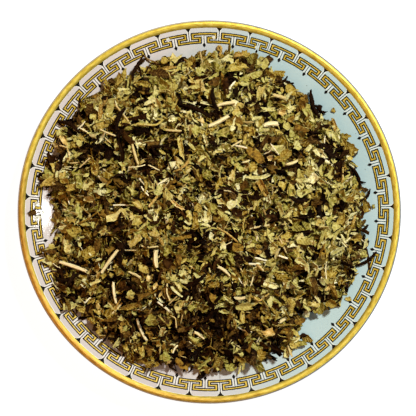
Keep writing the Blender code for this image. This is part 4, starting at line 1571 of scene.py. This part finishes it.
def gather(finish, work, tint, turn=None, spot=None):
    store = gathered.setdefault(finish, {"verts": [], "faces": [], "leaf": [], "tint": []})
    layer = work.verts.layers.float_vector["leafPlace"]
    first = len(store["verts"])
    for i, vert in enumerate(work.verts):
        vert.index = i
        store["verts"].append((turn @ vert.co + spot) if turn else vert.co.copy())
        store["leaf"].append(vert[layer].copy())
        store["tint"].append(tint)
    store["faces"] += [[first + vert.index for vert in face.verts] for face in work.faces]
    work.free()


def layChosenLeaf(draw, row):
    across, down, heading, length, width, finish, tint = row
    slim = width / length
    reach, half = length * pixel / 2, width * pixel / 2
    if slim > chosen["broad"]:
        creases = [
            (draw.uniform(0, math.tau), draw.choice((-1, 1)) * draw.uniform(*chosen["crease"]))
            for i in range(3)
        ]
        roll = draw.uniform(*chosen["broadRoll"])
    else:
        creases = [(0.0, draw.choice((-1, 1)) * draw.uniform(*chosen["fold"]))]
        roll = draw.choice((-1, 1)) * draw.uniform(*chosen["slimRoll"]) / half
    if finish == "dark":
        roll = draw.choice((-1, 1)) * draw.uniform(*chosen["darkRoll"]) / half
        half *= chosen["darkWider"]
    bend = draw.uniform(*chosen["bend"]) * reach if slim < chosen["slim"] else 0.0
    work = leafSheet(draw, reach, half, creases, roll, chosen["curl"], chosen["wave"], bend)
    closeSheet(work, chosen["thickness"])
    spot = atPixel(across, down)
    tip = np.array([draw.gauss(0, chosen["lean"]) for i in range(2)])
    normal = leaning(*spot, chosen["slopeShare"] * looseness(*spot), tip, chosen["slopeStep"])
    turn = turnMatrix(normal, math.radians(heading))
    local = [v.co for v in work.verts] + [f.calc_center_median() for f in work.faces]
    points = np.array(local) @ turn.T
    lift = restOn(points, spot, chosen["settle"])
    lift += min(0.0, headroom(points, spot, lift) - heap["clearance"])
    cover(points, spot, lift, fall["spacing"])
    gather(finish, work, tint, Matrix(turn.tolist()), Vector((*spot, lift)))


def stemAlong(draw, course, width):  # a stem through these points of the photograph, as it rests
    spots = np.array([atPixel(*point) for point in course])
    steps = np.concatenate(([0.0], np.cumsum(np.hypot(*np.diff(spots, axis=0).T))))
    along = np.linspace(0, steps[-1], chosen["stemRings"])
    x, y = (np.interp(along, steps, spots[:, i]) for i in (0, 1))
    for i in range(2):  # rounds the bends
        x[1:-1] = (x[:-2] + 2 * x[1:-1] + x[2:]) / 4
        y[1:-1] = (y[:-2] + 2 * y[1:-1] + y[2:]) / 4
    rows, columns = cellsOf(np.column_stack((x, y, x)))
    under = height[rows, columns]
    rise = np.polyval(np.polyfit(along, under, 1), along)
    rise += np.quantile(under - rise, 0.8)
    radius = width * pixel / 2
    above = float((roof[rows, columns] - rise - 2 * radius).min())
    rise += radius * chosen["settle"] + min(0.0, above - heap["clearance"])
    work = newWork()
    phase = draw.uniform(0, 40) * mm
    rings = []
    centres = [Vector((float(a), float(b), float(c))) for a, b, c in zip(x, y, rise)]
    for i, centre in enumerate(centres):
        ahead = (centres[min(i + 1, len(centres) - 1)] - centres[max(i - 1, 0)]).normalized()
        side = ahead.cross(Vector((0, 0, 1))).normalized()
        up = side.cross(ahead)
        girth = radius * draw.uniform(0.82, 1.12) * (0.75 if i in (0, len(centres) - 1) else 1.0)
        ring = []
        for turn in range(chosen["stemSides"]):
            angle = math.tau * turn / chosen["stemSides"]
            spot = centre + girth * (side * math.cos(angle) + up * math.sin(angle))
            ring.append(addVert(work, spot, (float(along[i]), angle * radius, phase)))
        rings.append(ring)
    closeTube(work, rings)
    return work


def layChosenStem(draw, row):
    course, width, finish, tint = row
    work = stemAlong(draw, course, width)
    cover(np.array([v.co for v in work.verts]), (0.0, 0.0), 0.0, fall["spacing"])
    gather(finish, work, tint)


def buildChosen():
    draw = random.Random(chosen["seed"])
    for row in chosenLeaves:
        layChosenLeaf(draw, row)
    for row in chosenStems:
        layChosenStem(draw, row)
    for finish, store in gathered.items():
        mesh = bpy.data.meshes.new(finish + "Chosen")
        mesh.from_pydata(store["verts"], [], store["faces"])
        addAttribute(mesh, "leafPlace", "FLOAT_VECTOR", [c for place in store["leaf"] for c in place])
        addAttribute(mesh, "tint", "FLOAT", store["tint"])
        mesh.shade_smooth()
        mesh.set_sharp_from_angle(angle=math.radians(40))
        finishPiece(newObject(finish + "Chosen", mesh, finishes[finish]), slotFor(finish), "leaf_heap")


buildChosen()
print("leaves and stems of the photograph laid")


def namedPiece(name, ending, work, sharpFrom, finish, tint):
    mesh = shapeMesh(name + ending, work, sharpFrom)
    addAttribute(mesh, "tint", "FLOAT", [tint] * len(mesh.vertices))
    finishPiece(newObject(name + ending, mesh, finishes[finish]), slotFor(finish), name)


# Stalks that lie on the heap: fibrous stems, flattened a little and torn off at the ends
stalks = {"sides": 12, "rings": 16, "groove": 0.1, "tear": 0.9 * mm, "dish": 0.35 * mm, "seed": 51}


def buildStalk(name, draw):
    found = nodeFrame(name)
    work = newWork()
    radius, length = found["width"] / 2, found["length"]
    flatten = draw.uniform(0.6, 0.85)
    phase = draw.uniform(0, 40)
    swell = draw.uniform(0.1, 0.9)
    torn = [[draw.uniform(-1, 0.1) * stalks["tear"] for i in range(stalks["sides"])] for end in (0, 1)]
    rings = []
    for step in range(stalks["rings"]):
        t = step / (stalks["rings"] - 1)
        slim = 0.72 + 0.28 * math.sin(math.pi * min(1, max(0, t * 0.8 + swell * 0.2)))
        ring = []
        for i in range(stalks["sides"]):
            angle = math.tau * i / stalks["sides"]
            knots = noise.noise(Vector((t * length / (2.2 * mm), angle, phase)))
            reach = radius * slim * (1 + 0.16 * knots + stalks["groove"] * (-1) ** i)
            pull = torn[0][i] * max(0, 1 - t * 7) - torn[1][i] * max(0, 1 - (1 - t) * 7)
            along = (t - 0.5) * length - pull
            side = math.cos(angle) * reach * 0.86 + found["bend"] * (1 - (2 * t - 1) ** 2)
            spot = found["place"] @ Vector((along, side, math.sin(angle) * reach * flatten))
            ring.append(addVert(work, spot, (along, angle * radius, phase * mm)))
        rings.append(ring)
    addQuads(work, rings, True)
    for ring, inward in ((rings[0], 1), (rings[-1], -1)):  # dished pith at each end
        middle = sum((v.co for v in ring), Vector()) / len(ring)
        axis = Vector(found["place"].col[0][:3])
        pith = addVert(work, middle + axis * inward * stalks["dish"], (0, 0, phase * mm))
        addFan(work, pith, ring)
    smoothOut(work)
    namedPiece(name, "_stem", work, 50, "stalk", draw.uniform(0.3, 0.8))


# Leaves that rolled up lengthways as they dried, dark and brittle
rolled = {"around": 16, "along": 18, "turns": 1.35, "shrink": 0.34, "thickness": 0.16 * mm, "seed": 63}


def buildRolledLeaf(name, draw):
    found = nodeFrame(name)
    work = newWork()
    radius, length = found["tall"] / 2, found["length"]
    phase, start, twist = draw.uniform(0, 40), draw.uniform(0, math.tau), draw.uniform(-1.2, 1.2)
    rows = []
    for step in range(rolled["along"]):
        t = step / (rolled["along"] - 1)
        slim = (0.35 + 0.65 * math.sin(math.pi * (0.06 + 0.86 * t)) ** 0.8) * draw.uniform(0.86, 1.08)
        row = []
        for i in range(rolled["around"]):
            u = i / (rolled["around"] - 1)
            angle = start + twist * t + u * rolled["turns"] * math.tau
            crinkle = noise.noise(Vector((t * length / (1.6 * mm), angle, phase)))
            reach = radius * slim * (1 - rolled["shrink"] * u) * (1 + 0.2 * crinkle)
            ragged = draw.uniform(-0.5, 0.5) * mm if step in (0, rolled["along"] - 1) else 0.0
            along = (t - 0.5) * length * 0.97 + ragged
            side = math.cos(angle) * reach + found["bend"] * (1 - (2 * t - 1) ** 2)
            spot = found["place"] @ Vector((along, side, math.sin(angle) * reach))
            row.append(addVert(work, spot, (along, u * radius * 7, phase * mm)))
        rows.append(row)
    addQuads(work, rows, False)
    closeSheet(work, rolled["thickness"])
    namedPiece(name, "_curl", work, 45, "dark", draw.uniform(0.25, 0.75))


# Flakes that fell on the rim, clear of the heap
strays = {
    "thickness": 0.16 * mm,
    "seed": 71,
    # finish, width for its length, crease, roll, how far the edge curls up, heading
    "kinds": {
        "loose_flake_01": ("brown", 0.85, 0.5, 300, 0.3, 20),
        "loose_flake_02": ("brown", 0.85, 0.6, 160, 0.5, 40),
        "loose_flake_04": ("olive", 0.7, 0.5, -120, 0.5, -20),
        "loose_flake_05": ("olive", 0.8, 0.3, 90, 0.3, 130),
        "loose_flake_06": ("dark", 0.6, 0.6, 200, 0.6, 50),
        "loose_flake_07": ("olive", 0.8, 0.3, 120, 0.3, 10),
        "loose_flake_08": ("green", 0.7, 0.4, 90, 0.3, 100),
    },
    # a tendril that curled into a hook, through these points of the photograph
    "hook": ((219.5, 50), (217.3, 49), (216.8, 46.5), (219, 44.6), (221.6, 46.5), (221.3, 50), (219.5, 56)),
    "hookWidth": 2.7,
    "hookTint": 0.45,
}


def buildHook(name, draw):
    work = stemAlong(draw, strays["hook"], strays["hookWidth"])
    namedPiece(name, "_tendril", work, 50, "tan", strays["hookTint"])


def buildStray(name, draw):
    finish, slim, crease, roll, curl, heading = strays["kinds"][name]
    low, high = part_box(name)
    spot = (low + high) / 2
    half = max(high.x - low.x, high.y - low.y) / 2
    work = leafSheet(draw, half, half * slim, [(0.0, crease)], roll, curl * mm, 0.3 * mm)
    turn = Matrix.Rotation(math.radians(heading), 3, "Z")
    bottom = min(v.co.z for v in work.verts)
    for vert in work.verts:
        flat = turn @ vert.co
        x, y = spot.x + flat.x, spot.y + flat.y
        level = float(plateTop(math.hypot(x, y))) + strays["thickness"] + 0.12 * mm
        vert.co = (x, y, level + vert.co.z - bottom)
    closeSheet(work, strays["thickness"])
    namedPiece(name, "_leaf", work, 35, finish, draw.uniform(0.3, 0.7))


stemDraw, rollDraw, strayDraw = (random.Random(part["seed"]) for part in (stalks, rolled, strays))
for name in sorted(frame["nodes"]):
    if name.startswith("stalk"):
        buildStalk(name, stemDraw)
    elif name.startswith("rolled"):
        buildRolledLeaf(name, rollDraw)
    elif name == "loose_flake_03":
        buildHook(name, strayDraw)
    elif name.startswith("loose"):
        buildStray(name, strayDraw)
print("named pieces made")

for group, clouds in shapes.values():
    for obj in list(group.objects):
        bpy.data.objects.remove(obj, do_unlink=True)
    bpy.data.collections.remove(group)
